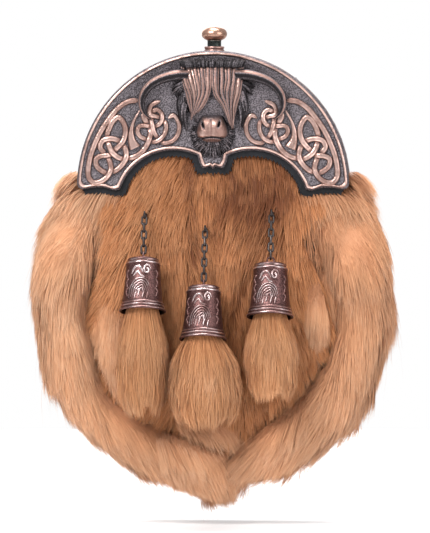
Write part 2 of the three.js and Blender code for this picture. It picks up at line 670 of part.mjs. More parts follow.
// The sections of a roll, each with points round it. Grow makes it larger for cutting its neighbour.
function rollSections(table, side, points, radiusAt, grow = 0) {
  return table.map((row) => {
    const outer = rollPlace(row.outX, row.outDrop, side);
    const inner = rollPlace(row.inX, row.inDrop, side);
    const half = outer.distanceTo(inner) / 2 + grow;
    const deep = (ROLL_D * row.deep) / 2 + grow;
    const middle = outer.clone().add(inner).divideScalar(2).setY(-BAND_BACK - ROLL_D / 2);
    const along = outer.clone().sub(inner).normalize();
    return Array.from({ length: points }, (_, j) => {
      const angle = (2 * Math.PI * j) / points;
      const r = radiusAt(j);
      return middle.clone()
        .addScaledVector(along, half * r * Math.cos(angle))
        .add(new THREE.Vector3(0, -deep * r * Math.sin(angle), 0));
    });
  });
}

function furRoll(table, side) {
  const strips = rollSections(table, side, 2 * ROLL_STRIPS, (j) => (j % 2 ? 0.9 : 1));
  const lockRows = table.slice(3, -2).map((row, i) => ({ row, next: table[i + 5] })).filter((_, i) => i % 2);
  const locks = lockRows.map(({ row, next }, i) => {
    const outer = rollPlace(row.outX, row.outDrop, side);
    const inner = rollPlace(row.inX, row.inDrop, side);
    const tip = rollPlace(next.outX, next.outDrop, side);
    const middle = BAND_BACK + ROLL_D / 2;
    const forward = (i % 2 ? 1 : -1) * 0.2;
    return limb([
      { ...between(outer, inner, 0.3), depth: middle + forward * ROLL_D, wide: 17, thick: 16 },
      { ...between(tip, outer, -0.02), depth: middle + forward * ROLL_D, wide: 2.5, thick: 2.5 },
    ], 5);
  });
  const cuts = [pouchBlock(), cantleBlock(0)];
  return solidThrough(cuts.reduce((fur, cut) => fur.subtract(solidOf(cut)), fused([skin(strips), ...locks])));
}

// Tassels. X is a share of the pouch's half width, and cupTop of its height below the arch's top. The
// plume's length and half width are shares of the largest ones, and aside, how far it lies to the right
// of the cup, is a share of its largest half width.

const TASSELS = [
  { name: 'left', x: -0.457, cupTop: 0.643, links: 5, plume: 1, half: 0.722, aside: 0 },
  { name: 'middle', x: -0.041, cupTop: 0.727, links: 7, plume: 0.86, half: 1, aside: 0.15 },
  { name: 'right', x: 0.412, cupTop: 0.658, links: 6, plume: 0.807, half: 0.742, aside: 0.1 },
];
const CUP_LEAN = THREE.MathUtils.degToRad(CUP_TILT);

// Direction up along the chain, link by link from the cup
function chainUp(i) {
  const lean = CUP_LEAN + THREE.MathUtils.degToRad(CHAIN_TURN) * i;
  return new THREE.Vector3(0, Math.sin(lean), Math.cos(lean));
}

// The cup's top is placed so that the cup just clears the fur behind it, from its foot to its top.
function cupPlace(tassel) {
  const x = tassel.x * POUCH_HALF;
  const z = ARCH_TOP - tassel.cupTop * POUCH_DROP;
  const depths = [0, 0.25, 0.5, 0.75, 1].map((share) => {
    const below = share * CUP_H;
    const radius = mix(CUP_TOP_R, CUP_FOOT_R, share ** 2) + GAP;
    const row = pouchRow(pouchDown(z - below * Math.cos(CUP_LEAN)));
    const fur = panelDepth(row, x / (row.half * POUCH_HALF)) + PANEL_T + GAP + FUR_T;
    return fur + radius - below * Math.sin(CUP_LEAN);
  });
  return new THREE.Vector3(x, -Math.max(...depths) - GAP, z);
}

const EYE_PITCH = EYE_R - WIRE / 2 - LINK_PLAY + LINK_L / 2 - WIRE;
const LINK_PITCH = LINK_L - 2 * WIRE - LINK_PLAY;

// Centres of the bail, the links and the eye, upwards
function chainPlaces(tassel) {
  const places = [cupPlace(tassel).addScaledVector(chainUp(0), EYE_R)];
  for (let i = 0; i <= tassel.links; i += 1) {
    const step = i === 0 || i === tassel.links ? EYE_PITCH : LINK_PITCH;
    places.push(places[i].clone().addScaledVector(chainUp(i), step));
  }
  return places;
}

// A ring of wire round a path in the X-Z plane
function wireRing(path) {
  return skin(path.map(({ x, z, angle }) => Array.from({ length: WIRE_SIDES }, (_, j) => {
    const turn = (2 * Math.PI * j) / WIRE_SIDES;
    const out = (WIRE / 2) * Math.cos(turn);
    return new THREE.Vector3(x + out * Math.cos(angle), (WIRE / 2) * Math.sin(turn), z + out * Math.sin(angle));
  })), { looped: true });
}

function linkGeometry() {
  const r = (LINK_W - WIRE) / 2;
  const straight = (LINK_L - LINK_W) / 2;
  const ends = [90, -90].flatMap((middle) => [90, 30, -30, -90].map((turn) => {
    const angle = THREE.MathUtils.degToRad(middle + turn);
    return { x: r * Math.cos(angle), z: r * Math.sin(angle) + Math.sign(middle) * straight, angle };
  }));
  return wireRing(ends);
}

function eyeGeometry() {
  const steps = 8;
  return wireRing(Array.from({ length: steps }, (_, i) => {
    const angle = (2 * Math.PI * i) / steps;
    return { x: EYE_R * Math.cos(angle), z: EYE_R * Math.sin(angle), angle };
  }));
}

// Radius and height above the foot
const CUP_OUTER = [
  [1, 0], [0.93, 0.075], [0.955, 0.11], [0.885, 0.15], [0.8, 0.5], [0.745, 0.82], [0.79, 0.88], [0.76, 1],
];

function cupGeometry(bailSide) {
  const outer = CUP_OUTER.map(([r, h]) => [r * CUP_FOOT_R * (h > 0.4 ? CUP_TOP_R / (0.715 * CUP_FOOT_R) : 1), h * CUP_H]);
  const inner = [0.5, 0.15, 0].map((h) => {
    const near = CUP_OUTER.filter((row) => row[1] <= Math.max(h, 0.15)).pop();
    const scale = near[1] > 0.4 ? CUP_TOP_R / (0.715 * CUP_FOOT_R) : 1;
    return [near[0] * CUP_FOOT_R * scale - CUP_WALL, h * CUP_H];
  });
  const bell = turned([[0, CUP_H * 0.7], ...inner, ...outer, [0, CUP_H]], ROUND).translate(0, 0, -CUP_H);
  const bail = eyeGeometry().rotateZ(bailSide).translate(0, 0, EYE_R);
  return solidThrough(fused([bell, bail, ...cupRelief()]));
}

// Raised scrolls on the cup's front: an arch of ribs with a curl above it
function cupRelief() {
  const faceAt = (h) => CUP_FOOT_R * mix(0.86, 0.72, h) - 0.2;
  const rib = (from, to, rise, wide) => limb(Array.from({ length: 4 }, (_, i) => {
    const share = i / 3;
    const x = mix(from[0], to[0], share);
    const h = mix(from[1], to[1], share) + rise * Math.sin(Math.PI * share);
    const r = faceAt(h);
    return { x: r * x, z: (h - 1) * CUP_H, depth: r * Math.sqrt(1 - x * x), wide, thick: 1.6 };
  }), 4);
  return [
    rib([-0.5, 0.25], [0.3, 0.24], 0.3, 2.2),
    rib([-0.45, 0.7], [0.45, 0.56], 0.16, 2.4),
  ];
}

// A plume of locks on a plain head, down from the cup's foot. Down is a share of its length.
const PLUME = [
  { down: 0.1, wide: 0.74, deep: 0.8 }, { down: 0.3, wide: 0.93, deep: 0.95 },
  { down: 0.55, wide: 1, deep: 1 }, { down: 0.78, wide: 0.9, deep: 0.9 }, { down: 0.93, wide: 0.66, deep: 0.62 },
];
const PLUME_LOCKS = 6;

function plumeGeometry(tassel) {
  const headR = (0.8 * CUP_FOOT_R - CUP_WALL) * Math.cos(Math.PI / ROUND) - GAP;
  const upright = new THREE.Matrix4().makeRotationX(CUP_LEAN);
  const ring = (z, wide, deep, tips) => Array.from({ length: 2 * PLUME_LOCKS }, (_, j) => {
    const angle = (Math.PI * j) / PLUME_LOCKS;
    const r = j % 2 ? 0.88 : 1;
    const drop = tips && !(j % 2) ? tips : 0;
    return new THREE.Vector3(wide * r * Math.cos(angle), deep * r * Math.sin(angle), z - drop);
  });
  const head = [ring(PLUME_NECK, headR, headR, 0), ring(0, headR, headR, 0)];
  const length = tassel.plume * PLUME_L;
  const body = PLUME.map((row, i) => {
    const tips = i === PLUME.length - 1 ? 0.07 * length : 0;
    const aside = new THREE.Vector3(tassel.aside * row.down * PLUME_HALF, 0, 0);
    return ring(-row.down * length, row.wide * tassel.half * PLUME_HALF, row.deep * PLUME_DEEP, tips)
      .map((p) => p.applyMatrix4(upright).add(aside));
  });
  return skin([...head, ...body]);
}

// The flat fur in the middle of the front, cut clear of the rolls and of the eyes' posts
function furFront() {
  const shown = (row) => THREE.MathUtils.smoothstep(row.down, 0.1, 0.3);
  const strips = layer(
    POUCH.slice(0, -2),
    0.86,
    10,
    () => PANEL_T / 2,
    (row, across, i) => PANEL_T + GAP + mix(FUR_TOP_T, FUR_T, shown(row)) - (i % 2 ? 1.6 * shown(row) + 0.4 : 0),
  );
  const rolls = [[LEFT_ROLL, -1], [RIGHT_ROLL, 1]].map(([table, side]) => (
    skin(rollSections(table, side, ROLL_STRIPS, () => 1 / Math.cos(Math.PI / ROLL_STRIPS), 2 * GAP))
  ));
  const posts = TASSELS.map((tassel) => postGeometry(tassel, EYE_R + WIRE / 2 + 2 * GAP, 2 * GAP, ROLL_D));
  const cuts = [pouchBlock(), ...rolls, ...posts, cantleBlock(BACKING_BACK - GAP)];
  return solidThrough(cuts.reduce((fur, cut) => fur.subtract(solidOf(cut)), solidOf(strips)));
}

// An eye's post, from the front panel to the eye's ring, or further by some length at either end
function postGeometry(tassel, radius, past = 0, more = 0) {
  const eye = chainPlaces(tassel).pop();
  const row = pouchRow(pouchDown(eye.z));
  const panel = panelDepth(row, eye.x / (row.half * POUCH_HALF)) + PANEL_T + GAP - past;
  const length = -eye.y - EYE_R - panel + more;
  return new THREE.CylinderGeometry(radius, radius, length, 8).translate(eye.x, -panel - length / 2, eye.z);
}

function chainEye(tassel) {
  const eye = chainPlaces(tassel).pop();
  const ring = eyeGeometry().rotateZ(Math.PI / 2).translate(eye.x, eye.y, eye.z);
  return fused([ring, postGeometry(tassel, POST_R)]);
}

// A loop's side view, from its lower foot out and up, drawn out to its width
function strapLoop() {
  const half = LOOP_H / 2;
  const footTop = LOOP_FOOT + LOOP_T / 2 - half;
  const outer = [
    [GAP, -half], [GAP + LOOP_T, -half], [GAP + LOOP_T, LOOP_FOOT - half],
    [GAP + LOOP_T + LOOP_STAND, LOOP_FOOT + LOOP_SLOPE - half],
  ];
  const inner = [[GAP, footTop], [GAP + LOOP_STAND, footTop + LOOP_SLOPE]];
  const both = (points) => [...points, ...points.map(([y, z]) => [y, -z]).reverse()];
  const outline = [...both(outer), ...both(inner).reverse()].map(([y, z]) => new THREE.Vector2(y, z));
  const drawn = new THREE.ExtrudeGeometry(new THREE.Shape(outline), { depth: LOOP_W, bevelEnabled: false });
  const upright = new THREE.Matrix4().set(0, 0, 1, -LOOP_W / 2, 1, 0, 0, 0, 0, 1, 0, 0, 0, 0, 0, 1);
  return drawn.applyMatrix4(upright);
}

// Assembly

const material = (color, roughness, metalness) => new THREE.MeshStandardMaterial({ color, roughness, metalness });
const copper = material(0xa8745c, 0.4, 0.9);
const brass = material(0x8a5f4e, 0.4, 0.9);
const steel = material(0x4a4744, 0.45, 0.9);
const blackLeather = material(0x23242c, 0.7, 0);
const roughLeather = material(0x2b2622, 0.8, 0);
const rollFur = material(0xd29a72, 0.9, 0);
const middleFur = material(0x9a5f38, 0.9, 0);
const plumeFur = material(0xd8a878, 0.9, 0);

const sporran = new THREE.Group();

function add(name, shape, finish, parent = sporran) {
  const geometry = shape.isBufferGeometry ? welded(shape) : geometryOf(shape);
  const mesh = new THREE.Mesh(geometry, finish);
  mesh.name = name;
  parent.add(mesh);
  return mesh;
}

add('cantle', cantle(), copper);
add('frame_band', frameBand(), brass);
add('knob', knob(), copper).position.set(0, -KNOB_DEPTH, 0);
add('pinked_backing', pinkedBacking(), blackLeather);
add('front_panel', frontPanel(), roughLeather);
add('gusset', gusset(), roughLeather);
add('back_panel', backPanel(), roughLeather);
add('fur_front', furFront(), middleFur);
add('fur_side_left', furRoll(LEFT_ROLL, -1), rollFur);
add('fur_side_right', furRoll(RIGHT_ROLL, 1), rollFur);

TASSELS.forEach((tassel) => {
  const places = chainPlaces(tassel);
  add(`chain_eye_${tassel.name}`, chainEye(tassel), steel);
  for (let i = 1; i <= tassel.links; i += 1) {
    const link = add(`chain_${tassel.name}_${tassel.links - i + 1}`, linkGeometry(), steel);
    const turn = (tassel.links - i) % 2 ? Math.PI / 2 : 0;
    const lean = CUP_LEAN + THREE.MathUtils.degToRad(CHAIN_TURN) * (i - 0.5);
    link.position.copy(places[i]);
    link.rotation.set(-lean, 0, turn, 'XYZ');
  }
  const hung = new THREE.Group();
  hung.position.copy(cupPlace(tassel));
  hung.rotation.x = -CUP_LEAN;
  sporran.add(hung);
  const bailSide = (tassel.links - 1) % 2 ? 0 : Math.PI / 2;
  add(`tassel_cup_${tassel.name}`, cupGeometry(bailSide), brass, hung);
  add(`tassel_plume_${tassel.name}`, plumeGeometry(tassel), plumeFur, hung).position.z = -CUP_H;
});

[['left', -1], ['right', 1]].forEach(([name, side]) => {
  add(`strap_loop_${name}`, strapLoop(), roughLeather).position.x = side * LOOP_X;
});

export default sporran;
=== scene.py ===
"""A full-dress sporran: cast cantle, fur-covered pouch and three chained tassels, dressed over its frame.

Lengths are in millimetres until a mesh is made. Depth is how far a place is in front of the back panel.
"""
import math

import bmesh
import bpy
import numpy as np
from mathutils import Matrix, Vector
from mathutils.bvhtree import BVHTree
from mathutils.kdtree import KDTree


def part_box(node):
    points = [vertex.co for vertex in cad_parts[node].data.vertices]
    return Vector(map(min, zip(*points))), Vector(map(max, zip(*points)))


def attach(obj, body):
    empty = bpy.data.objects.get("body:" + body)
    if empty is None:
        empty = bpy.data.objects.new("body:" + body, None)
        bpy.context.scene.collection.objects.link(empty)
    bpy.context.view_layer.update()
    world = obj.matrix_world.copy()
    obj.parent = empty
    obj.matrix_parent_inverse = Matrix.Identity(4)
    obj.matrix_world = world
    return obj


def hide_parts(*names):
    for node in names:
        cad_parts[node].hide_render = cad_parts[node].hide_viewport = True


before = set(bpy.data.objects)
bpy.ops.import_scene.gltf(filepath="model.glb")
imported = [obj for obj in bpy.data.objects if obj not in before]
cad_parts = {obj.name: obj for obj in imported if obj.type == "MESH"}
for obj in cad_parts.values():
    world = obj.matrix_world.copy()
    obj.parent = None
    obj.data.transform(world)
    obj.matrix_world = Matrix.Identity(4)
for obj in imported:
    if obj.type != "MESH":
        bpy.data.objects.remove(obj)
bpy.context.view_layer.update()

MM = 0.001
rng = np.random.default_rng(1746)

# Sizes from the frame
low, high = (np.array(corner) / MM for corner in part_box("cantle"))
CANTLE_R = (high[0] - low[0]) / 2
ARCH_TOP = high[2]
WALL_BACK = -high[1]
FACE = WALL_BACK + 8.0  # the wall's reach and the plate's thickness
BAND_LOW, BAND_HIGH = (np.array(corner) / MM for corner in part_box("frame_band"))
KNOB_LOW, KNOB_HIGH = (np.array(corner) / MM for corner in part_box("knob"))
BACK_LOW = np.array(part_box("back_panel")[0]) / MM
ARCH_MID = ARCH_TOP - CANTLE_R


# Camera: the photograph's view, with its centre and scale at the cantle's face

PHOTO_W, PHOTO_H = 430, 533
MM_PER_PIXEL = 0.55
PHOTO_AXIS = 213.5  # pixel column of the sporran's middle
PHOTO_ORIGIN = 110.0  # pixel row of the hang point
VIEW_AZIMUTH, VIEW_ELEVATION, VIEW_DISTANCE = 3.5, 2.0, 2400.0
VIEW_SHIFT = (0.45, 0, 0.95)  # lays the render's outline over the photograph's
SENSOR = 36


def make_camera():
    cam = bpy.data.objects.new("camera", bpy.data.cameras.new("camera"))
    bpy.context.scene.collection.objects.link(cam)
    bpy.context.scene.camera = cam
    target = np.array([
        (PHOTO_W / 2 - PHOTO_AXIS) * MM_PER_PIXEL, -FACE, (PHOTO_ORIGIN - PHOTO_H / 2) * MM_PER_PIXEL])
    target += VIEW_SHIFT
    a, e = math.radians(VIEW_AZIMUTH), math.radians(VIEW_ELEVATION)
    back = np.array([math.sin(a) * math.cos(e), -math.cos(a) * math.cos(e), math.sin(e)])
    cam.location = Vector((target + back * VIEW_DISTANCE) * MM)
    cam.rotation_mode = "QUATERNION"
    cam.rotation_quaternion = Vector(-back).to_track_quat("-Z", "Y")
    cam.data.sensor_fit = "HORIZONTAL"
    cam.data.sensor_width = SENSOR
    cam.data.lens = SENSOR * VIEW_DISTANCE / (PHOTO_W * MM_PER_PIXEL)
    cam.data.clip_end = 100


# Meshes

def circle(count):
    """Angles of equal steps round a circle."""
    return np.linspace(0, 2 * math.pi, count, endpoint=False)


def mesh_object(name, points, faces, material, body="root"):
    """A piece from points in millimetres and faces: an array of equal faces, or a list of mixed ones."""
    me = bpy.data.meshes.new(name)
    points = np.asarray(points, float) * MM
    if isinstance(faces, np.ndarray):
        me.vertices.add(len(points))
        me.vertices.foreach_set("co", points.astype(np.float32).ravel())
        me.loops.add(faces.size)
        me.loops.foreach_set("vertex_index", faces.astype(np.int32).ravel())
        me.polygons.add(len(faces))
        me.polygons.foreach_set("loop_start", np.arange(0, faces.size, faces.shape[1], dtype=np.int32))
        me.update(calc_edges=True)
    else:
        me.from_pydata(points.tolist(), [], faces)
    me.polygons.foreach_set("use_smooth", np.full(len(me.polygons), True))
    me.update()
    ob = bpy.data.objects.new(name, me)
    bpy.context.scene.collection.objects.link(ob)
    me.materials.append(material)
    if body:
        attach(ob, body)
    return ob


def attribute(ob, name, values):
    """A number for each point of the mesh, which the materials read by its name."""
    ob.data.attributes.new(name, "FLOAT", "POINT").data.foreach_set("value", np.asarray(values, np.float32))


class Parts:
    """Gathers shells into one mesh, with a number for each point that says how dark it is kept."""

    def __init__(self):
        self.points, self.faces, self.dark, self.count = [], [], [], 0

    def add(self, points, faces, dark=0.0):
        points = np.asarray(points, float)
        self.points.append(points)
        self.faces += [[i + self.count for i in face] for face in faces]
        self.dark.append(np.broadcast_to(dark, (len(points),)))
        self.count += len(points)

    def build(self, name, material, body="root"):
        ob = mesh_object(name, np.concatenate(self.points), self.faces, material, body)
        attribute(ob, "dark", np.concatenate(self.dark))
        return ob


def lofted(rings, looped=False):
    """Points and faces of a skin over equal rings, with a single face over each open end."""
    rings = np.asarray(rings, float)
    count, n = rings.shape[:2]
    faces = []
    for i in range(count if looped else count - 1):
        a, b = i * n, ((i + 1) % count) * n
        for j in range(n):
            k = (j + 1) % n
            faces.append([a + j, a + k, b + k, b + j])
    if not looped:
        faces.append(list(range(n))[::-1])
        faces.append(list(range((count - 1) * n, count * n)))
    return rings.reshape(-1, 3), faces


def turned(profile, steps, centre):
    """A solid of revolution about Z, from radius and height. The profile starts and ends near the axis."""
    angle = circle(steps)
    rings = [[(r * math.cos(a), r * math.sin(a), h) for a in angle] for r, h in profile]
    points, faces = lofted(rings)
    return points + np.array(centre), faces


def smooth_curve(points, count):
    """A centripetal spline through the points, resampled to an even step."""
    p = np.asarray(points, float)
    p = np.vstack([2 * p[0] - p[1], p, 2 * p[-1] - p[-2]])
    knots = np.concatenate([[0], np.cumsum(np.sqrt(np.linalg.norm(np.diff(p, axis=0), axis=1)))])
    out = []
    for i in range(1, len(p) - 2):
        t = np.linspace(knots[i], knots[i + 1], 12, endpoint=i == len(p) - 3)[:, None]
        a = [(knots[i + k] - t) / (knots[i + k] - knots[i + k - 1]) * p[i + k - 1]
             + (t - knots[i + k - 1]) / (knots[i + k] - knots[i + k - 1]) * p[i + k] for k in range(3)]
        b = [(knots[i + k + 1] - t) / (knots[i + k + 1] - knots[i + k - 1]) * a[k]
             + (t - knots[i + k - 1]) / (knots[i + k + 1] - knots[i + k - 1]) * a[k + 1] for k in range(2)]
        out.append((knots[i + 1] - t) / (knots[i + 1] - knots[i]) * b[0]
                   + (t - knots[i]) / (knots[i + 1] - knots[i]) * b[1])
    dense = np.vstack(out)
    run = np.concatenate([[0], np.cumsum(np.linalg.norm(np.diff(dense, axis=0), axis=1))])
    even = np.linspace(0, run[-1], count)
    return np.stack([np.interp(even, run, dense[:, k]) for k in range(p.shape[1])], axis=1)


def limb(path, wide, thick, sides):
    """Rings round a path of x, depth and z, with widths and thicknesses. Returns points, faces and, for
    each point, how much it faces sideways."""
    path = np.asarray(path, float)
    places = np.stack([path[:, 0], -path[:, 1], path[:, 2]], axis=1)
    along = np.gradient(places, axis=0)
    along /= np.linalg.norm(along, axis=1)[:, None]
    across = np.cross([0, 1, 0], along)
    across /= np.maximum(np.linalg.norm(across, axis=1), 1e-6)[:, None]
    out = np.cross(along, across)
    angle = circle(sides)
    wide, thick = np.broadcast_to(wide, len(path)), np.broadcast_to(thick, len(path))
    rings = (places[:, None]
             + across[:, None] * (np.cos(angle)[None, :, None] * wide[:, None, None] / 2)
             + out[:, None] * (np.sin(angle)[None, :, None] * thick[:, None, None] / 2))
    points, faces = lofted(rings)
    return points, faces, np.tile(np.abs(np.cos(angle)), len(path))


# Materials

def node_material(name):
    mat = bpy.data.materials.new(name)
    mat.use_nodes = True
    tree = mat.node_tree
    return mat, tree, tree.nodes["Principled BSDF"]


def node(tree, kind, **settings):
    made = tree.nodes.new(kind)
    for key, value in settings.items():
        if hasattr(made, key):
            setattr(made, key, value)
        else:
            made.inputs[key.replace("_", " ")].default_value = value
    return made


def maths(tree, operation, a, b, clamp=False):
    made = node(tree, "ShaderNodeMath", operation=operation, use_clamp=clamp)
    for socket, value in zip(made.inputs, (a, b)):
        if isinstance(value, (int, float)):
            socket.default_value = value
        else:
            tree.links.new(value, socket)
    return made.outputs[0]


def mapped(tree, value, low_in, high_in, low_out=0.0, high_out=1.0):
    made = node(tree, "ShaderNodeMapRange", interpolation_type="SMOOTHSTEP")
    tree.links.new(value, made.inputs["Value"])
    for key, number in zip(("From Min", "From Max", "To Min", "To Max"),
                           (low_in, high_in, low_out, high_out)):
        made.inputs[key].default_value = number
    return made.outputs[0]


def ramp(tree, factor, stops):
    made = node(tree, "ShaderNodeValToRGB")
    elements = made.color_ramp.elements
    while len(elements) < len(stops):
        elements.new(0.5)
    for element, (place, colour) in zip(elements, stops):
        element.position = place
        element.color = (*colour, 1)
    tree.links.new(factor, made.inputs[0])
    return made.outputs[0]


def blended(tree, factor, a, b, kind="MIX"):
    made = node(tree, "ShaderNodeMix", data_type="RGBA", blend_type=kind)
    for socket, value in zip((made.inputs[0], made.inputs[6], made.inputs[7]), (factor, a, b)):
        if isinstance(value, tuple):
            socket.default_value = (*value, 1)
        else:
            tree.links.new(value, socket)
    return made.outputs[2]


def noise(tree, scale, detail, stretch=None):
    """Noise by object position, which may be stretched."""
    vector = node(tree, "ShaderNodeTexCoord").outputs["Object"]
    if stretch:
        sized = node(tree, "ShaderNodeMapping")
        sized.inputs["Scale"].default_value = stretch
        tree.links.new(vector, sized.inputs["Vector"])
        vector = sized.outputs[0]
    made = node(tree, "ShaderNodeTexNoise", Scale=scale, Detail=detail, Roughness=0.55)
    tree.links.new(vector, made.inputs["Vector"])
    return made.outputs[0]


def bump(tree, height, strength, distance, shader):
    made = node(tree, "ShaderNodeBump", Strength=strength, Distance=distance)
    tree.links.new(height, made.inputs["Height"])
    tree.links.new(made.outputs[0], shader.inputs["Normal"])


def read_attribute(tree, name):
    return node(tree, "ShaderNodeAttribute", attribute_name=name).outputs["Fac"]


def antique_metal(name, dark, middle, bright, stipple, face=None, shine=(0.55, 0.3)):
    """Metal that is dark in its hollows and rubbed bright on what stands out. The attribute "dark" keeps a
    place dark, and on the horns and the knob it also holds painted highlights and painted shade. With face,
    hollows are also found by the height over that depth."""
    mat, tree, shader = node_material(name)
    wear_and_highlight = maths(tree, "SUBTRACT", 1.0, read_attribute(tree, "dark"), clamp=True)
    if face is not None:
        split = node(tree, "ShaderNodeSeparateXYZ")
        tree.links.new(node(tree, "ShaderNodeTexCoord").outputs["Object"], split.inputs[0])
        height = maths(tree, "SUBTRACT", maths(tree, "MULTIPLY", split.outputs[1], -1.0), face * MM)
        wear_and_highlight = maths(tree, "MULTIPLY", wear_and_highlight, mapped(tree, height, 0.1 * MM, 1.25 * MM))
    patches = mapped(tree, noise(tree, 130.0, 4.0), 0.3, 0.62, 0.62, 1.0)
    wear_and_highlight = maths(tree, "MULTIPLY", wear_and_highlight, patches, clamp=True)
    grain = node(tree, "ShaderNodeTexVoronoi", Scale=1500.0)
    tree.links.new(node(tree, "ShaderNodeTexCoord").outputs["Object"], grain.inputs["Vector"])
    speckle = mapped(tree, grain.outputs["Distance"], 0.2, 0.75)
    ground = blended(tree, speckle, dark, tuple(min(1.0, 4.4 * c + 0.01) for c in dark))
    colour = blended(tree, mapped(tree, wear_and_highlight, 0.1, 0.5), ground, middle)
    colour = blended(tree, mapped(tree, wear_and_highlight, 0.5, 0.95), colour, bright)
    deep = mapped(tree, read_attribute(tree, "dark"), 0.82, 1.0)
    colour = blended(tree, deep, colour, tuple(0.3 * c for c in dark))
    tree.links.new(colour, shader.inputs["Base Color"])
    tree.links.new(mapped(tree, wear_and_highlight, 0.1, 0.9, *shine), shader.inputs["Roughness"])
    shader.inputs["Metallic"].default_value = 0.92
    rough = maths(tree, "MULTIPLY", maths(tree, "SUBTRACT", 1.05, wear_and_highlight), grain.outputs["Distance"])
    fine = maths(tree, "MULTIPLY", noise(tree, 900.0, 2.0), 0.12)
    bump(tree, maths(tree, "ADD", maths(tree, "MULTIPLY", rough, stipple), fine), 0.6, 0.35 * MM, shader)
    return mat


def leather(name, colour, edge, grain_scale=900.0):
    mat, tree, shader = node_material(name)
    pebbles = node(tree, "ShaderNodeTexVoronoi", Scale=grain_scale, feature="SMOOTH_F1")
    tree.links.new(node(tree, "ShaderNodeTexCoord").outputs["Object"], pebbles.inputs["Vector"])
    cloud = noise(tree, 60.0, 5.0)
    tint = blended(tree, mapped(tree, cloud, 0.3, 0.7), colour, edge)
    tree.links.new(tint, shader.inputs["Base Color"])
    tree.links.new(mapped(tree, cloud, 0.2, 0.8, 0.42, 0.62), shader.inputs["Roughness"])
    shader.inputs["Specular IOR Level"].default_value = 0.3
    creases = maths(tree, "ADD", pebbles.outputs["Distance"], maths(tree, "MULTIPLY", cloud, 0.8))
    bump(tree, creases, 0.55, 0.3 * MM, shader)
    return mat


def fur(name, stops, patch_dark, patch_light):
    """Hair coloured from root to tip by the attribute "along", and varied by "tone_and_shade", which holds
    the hair's own tone and, on the rolls and tufts, painted shade and painted light.
    """
    mat, tree, shader = node_material(name)
    along, tone_and_shade = read_attribute(tree, "along"), read_attribute(tree, "tone_and_shade")
    base = ramp(tree, along, stops)
    base = blended(tree, mapped(tree, tone_and_shade, 0.5, 0.0, 0.0, 0.85), base, patch_dark, "MULTIPLY")
    base = blended(tree, mapped(tree, tone_and_shade, 0.5, 1.0, 0.0, 0.75), base, patch_light)
    streak = mapped(tree, noise(tree, 45.0, 3.0, stretch=(1.0, 1.0, 0.35)), 0.3, 0.7, 0.86, 1.12)
    shaded = node(tree, "ShaderNodeHueSaturation")
    tree.links.new(streak, shaded.inputs["Value"])
    tree.links.new(base, shaded.inputs["Color"])
    tree.links.new(shaded.outputs[0], shader.inputs["Base Color"])
    shader.inputs["Roughness"].default_value = 0.5
    shader.inputs["Specular IOR Level"].default_value = 0.16
    shader.inputs["Sheen Weight"].default_value = 0.12
    shader.inputs["Sheen Roughness"].default_value = 0.5
    return mat


COPPER = antique_metal("cantle_copper", (0.05, 0.0435, 0.047), (0.3, 0.18, 0.15), (0.86, 0.59, 0.51), 1.5,
                       face=FACE)
FRAME_METAL = antique_metal("frame_metal", (0.04, 0.034, 0.036), (0.26, 0.16, 0.14), (0.66, 0.42, 0.36),
                            0.15)
KNOB_METAL = antique_metal("knob_copper", (0.05, 0.06, 0.055), (0.3, 0.17, 0.12), (0.62, 0.36, 0.26), 0.1,
                           shine=(0.45, 0.3))
CUP_METAL = antique_metal("cup_metal", (0.035, 0.016, 0.015), (0.2, 0.11, 0.1), (0.66, 0.54, 0.53), 0.3,
                          shine=(0.42, 0.25))
CHAIN_STEEL = antique_metal("chain_steel", (0.014, 0.012, 0.012), (0.06, 0.05, 0.048), (0.2, 0.17, 0.16),
                            0.1, shine=(0.45, 0.3))
PINKED_LEATHER = leather("pinked_leather", (0.005, 0.005, 0.0065), (0.011, 0.0115, 0.015), 1400.0)
POUCH_LEATHER = leather("pouch_leather", (0.016, 0.014, 0.013), (0.03, 0.026, 0.024))
THREAD, thread_tree, thread_shader = node_material("thread")
thread_shader.inputs["Base Color"].default_value = (0.05, 0.045, 0.04, 1)
thread_shader.inputs["Roughness"].default_value = 0.7
bump(thread_tree, noise(thread_tree, 2500.0, 2.0, stretch=(1.0, 1.0, 0.2)), 0.5, 0.2 * MM, thread_shader)
ROLL_FUR = fur("fur_roll",
               [(0.0, (0.4, 0.17, 0.08)), (0.35, (0.53, 0.25, 0.125)), (0.75, (0.62, 0.32, 0.17)),
                (1.0, (0.72, 0.44, 0.28))], (0.52, 0.38, 0.29), (0.82, 0.53, 0.34))
MIDDLE_FUR = fur("fur_middle",
                 [(0.0, (0.2, 0.068, 0.025)), (0.4, (0.42, 0.16, 0.06)), (0.8, (0.56, 0.24, 0.1)),
                  (1.0, (0.66, 0.34, 0.17))], (0.26, 0.16, 0.12), (0.72, 0.37, 0.18))
PLUME_FUR = fur("plume_fur",
                [(0.0, (0.42, 0.17, 0.07)), (0.4, (0.52, 0.235, 0.1)), (0.85, (0.56, 0.28, 0.135)),
                 (1.0, (0.6, 0.33, 0.18))], (0.5, 0.34, 0.25), (0.74, 0.44, 0.26))


# Cantle outline, as x and a drop below the arch's top

FOOT_DROP, CORNER_R = 76.3, 3.4
ARCH_STEPS = 120
SCALLOP_R, SCALLOP_X, SCALLOP_DROP = 31.2, 21.5, 86.0
LOBE_HALF, LOBE_DROP = 8.5, 65.0
LOBE = [(0, 0), (0.14, 1.1), (0.62, 0.4), (0.82, 2.2)]
FOOT_WAVE = [(0.15, -0.6), (0.42, 0.9), (0.72, 0.9)]


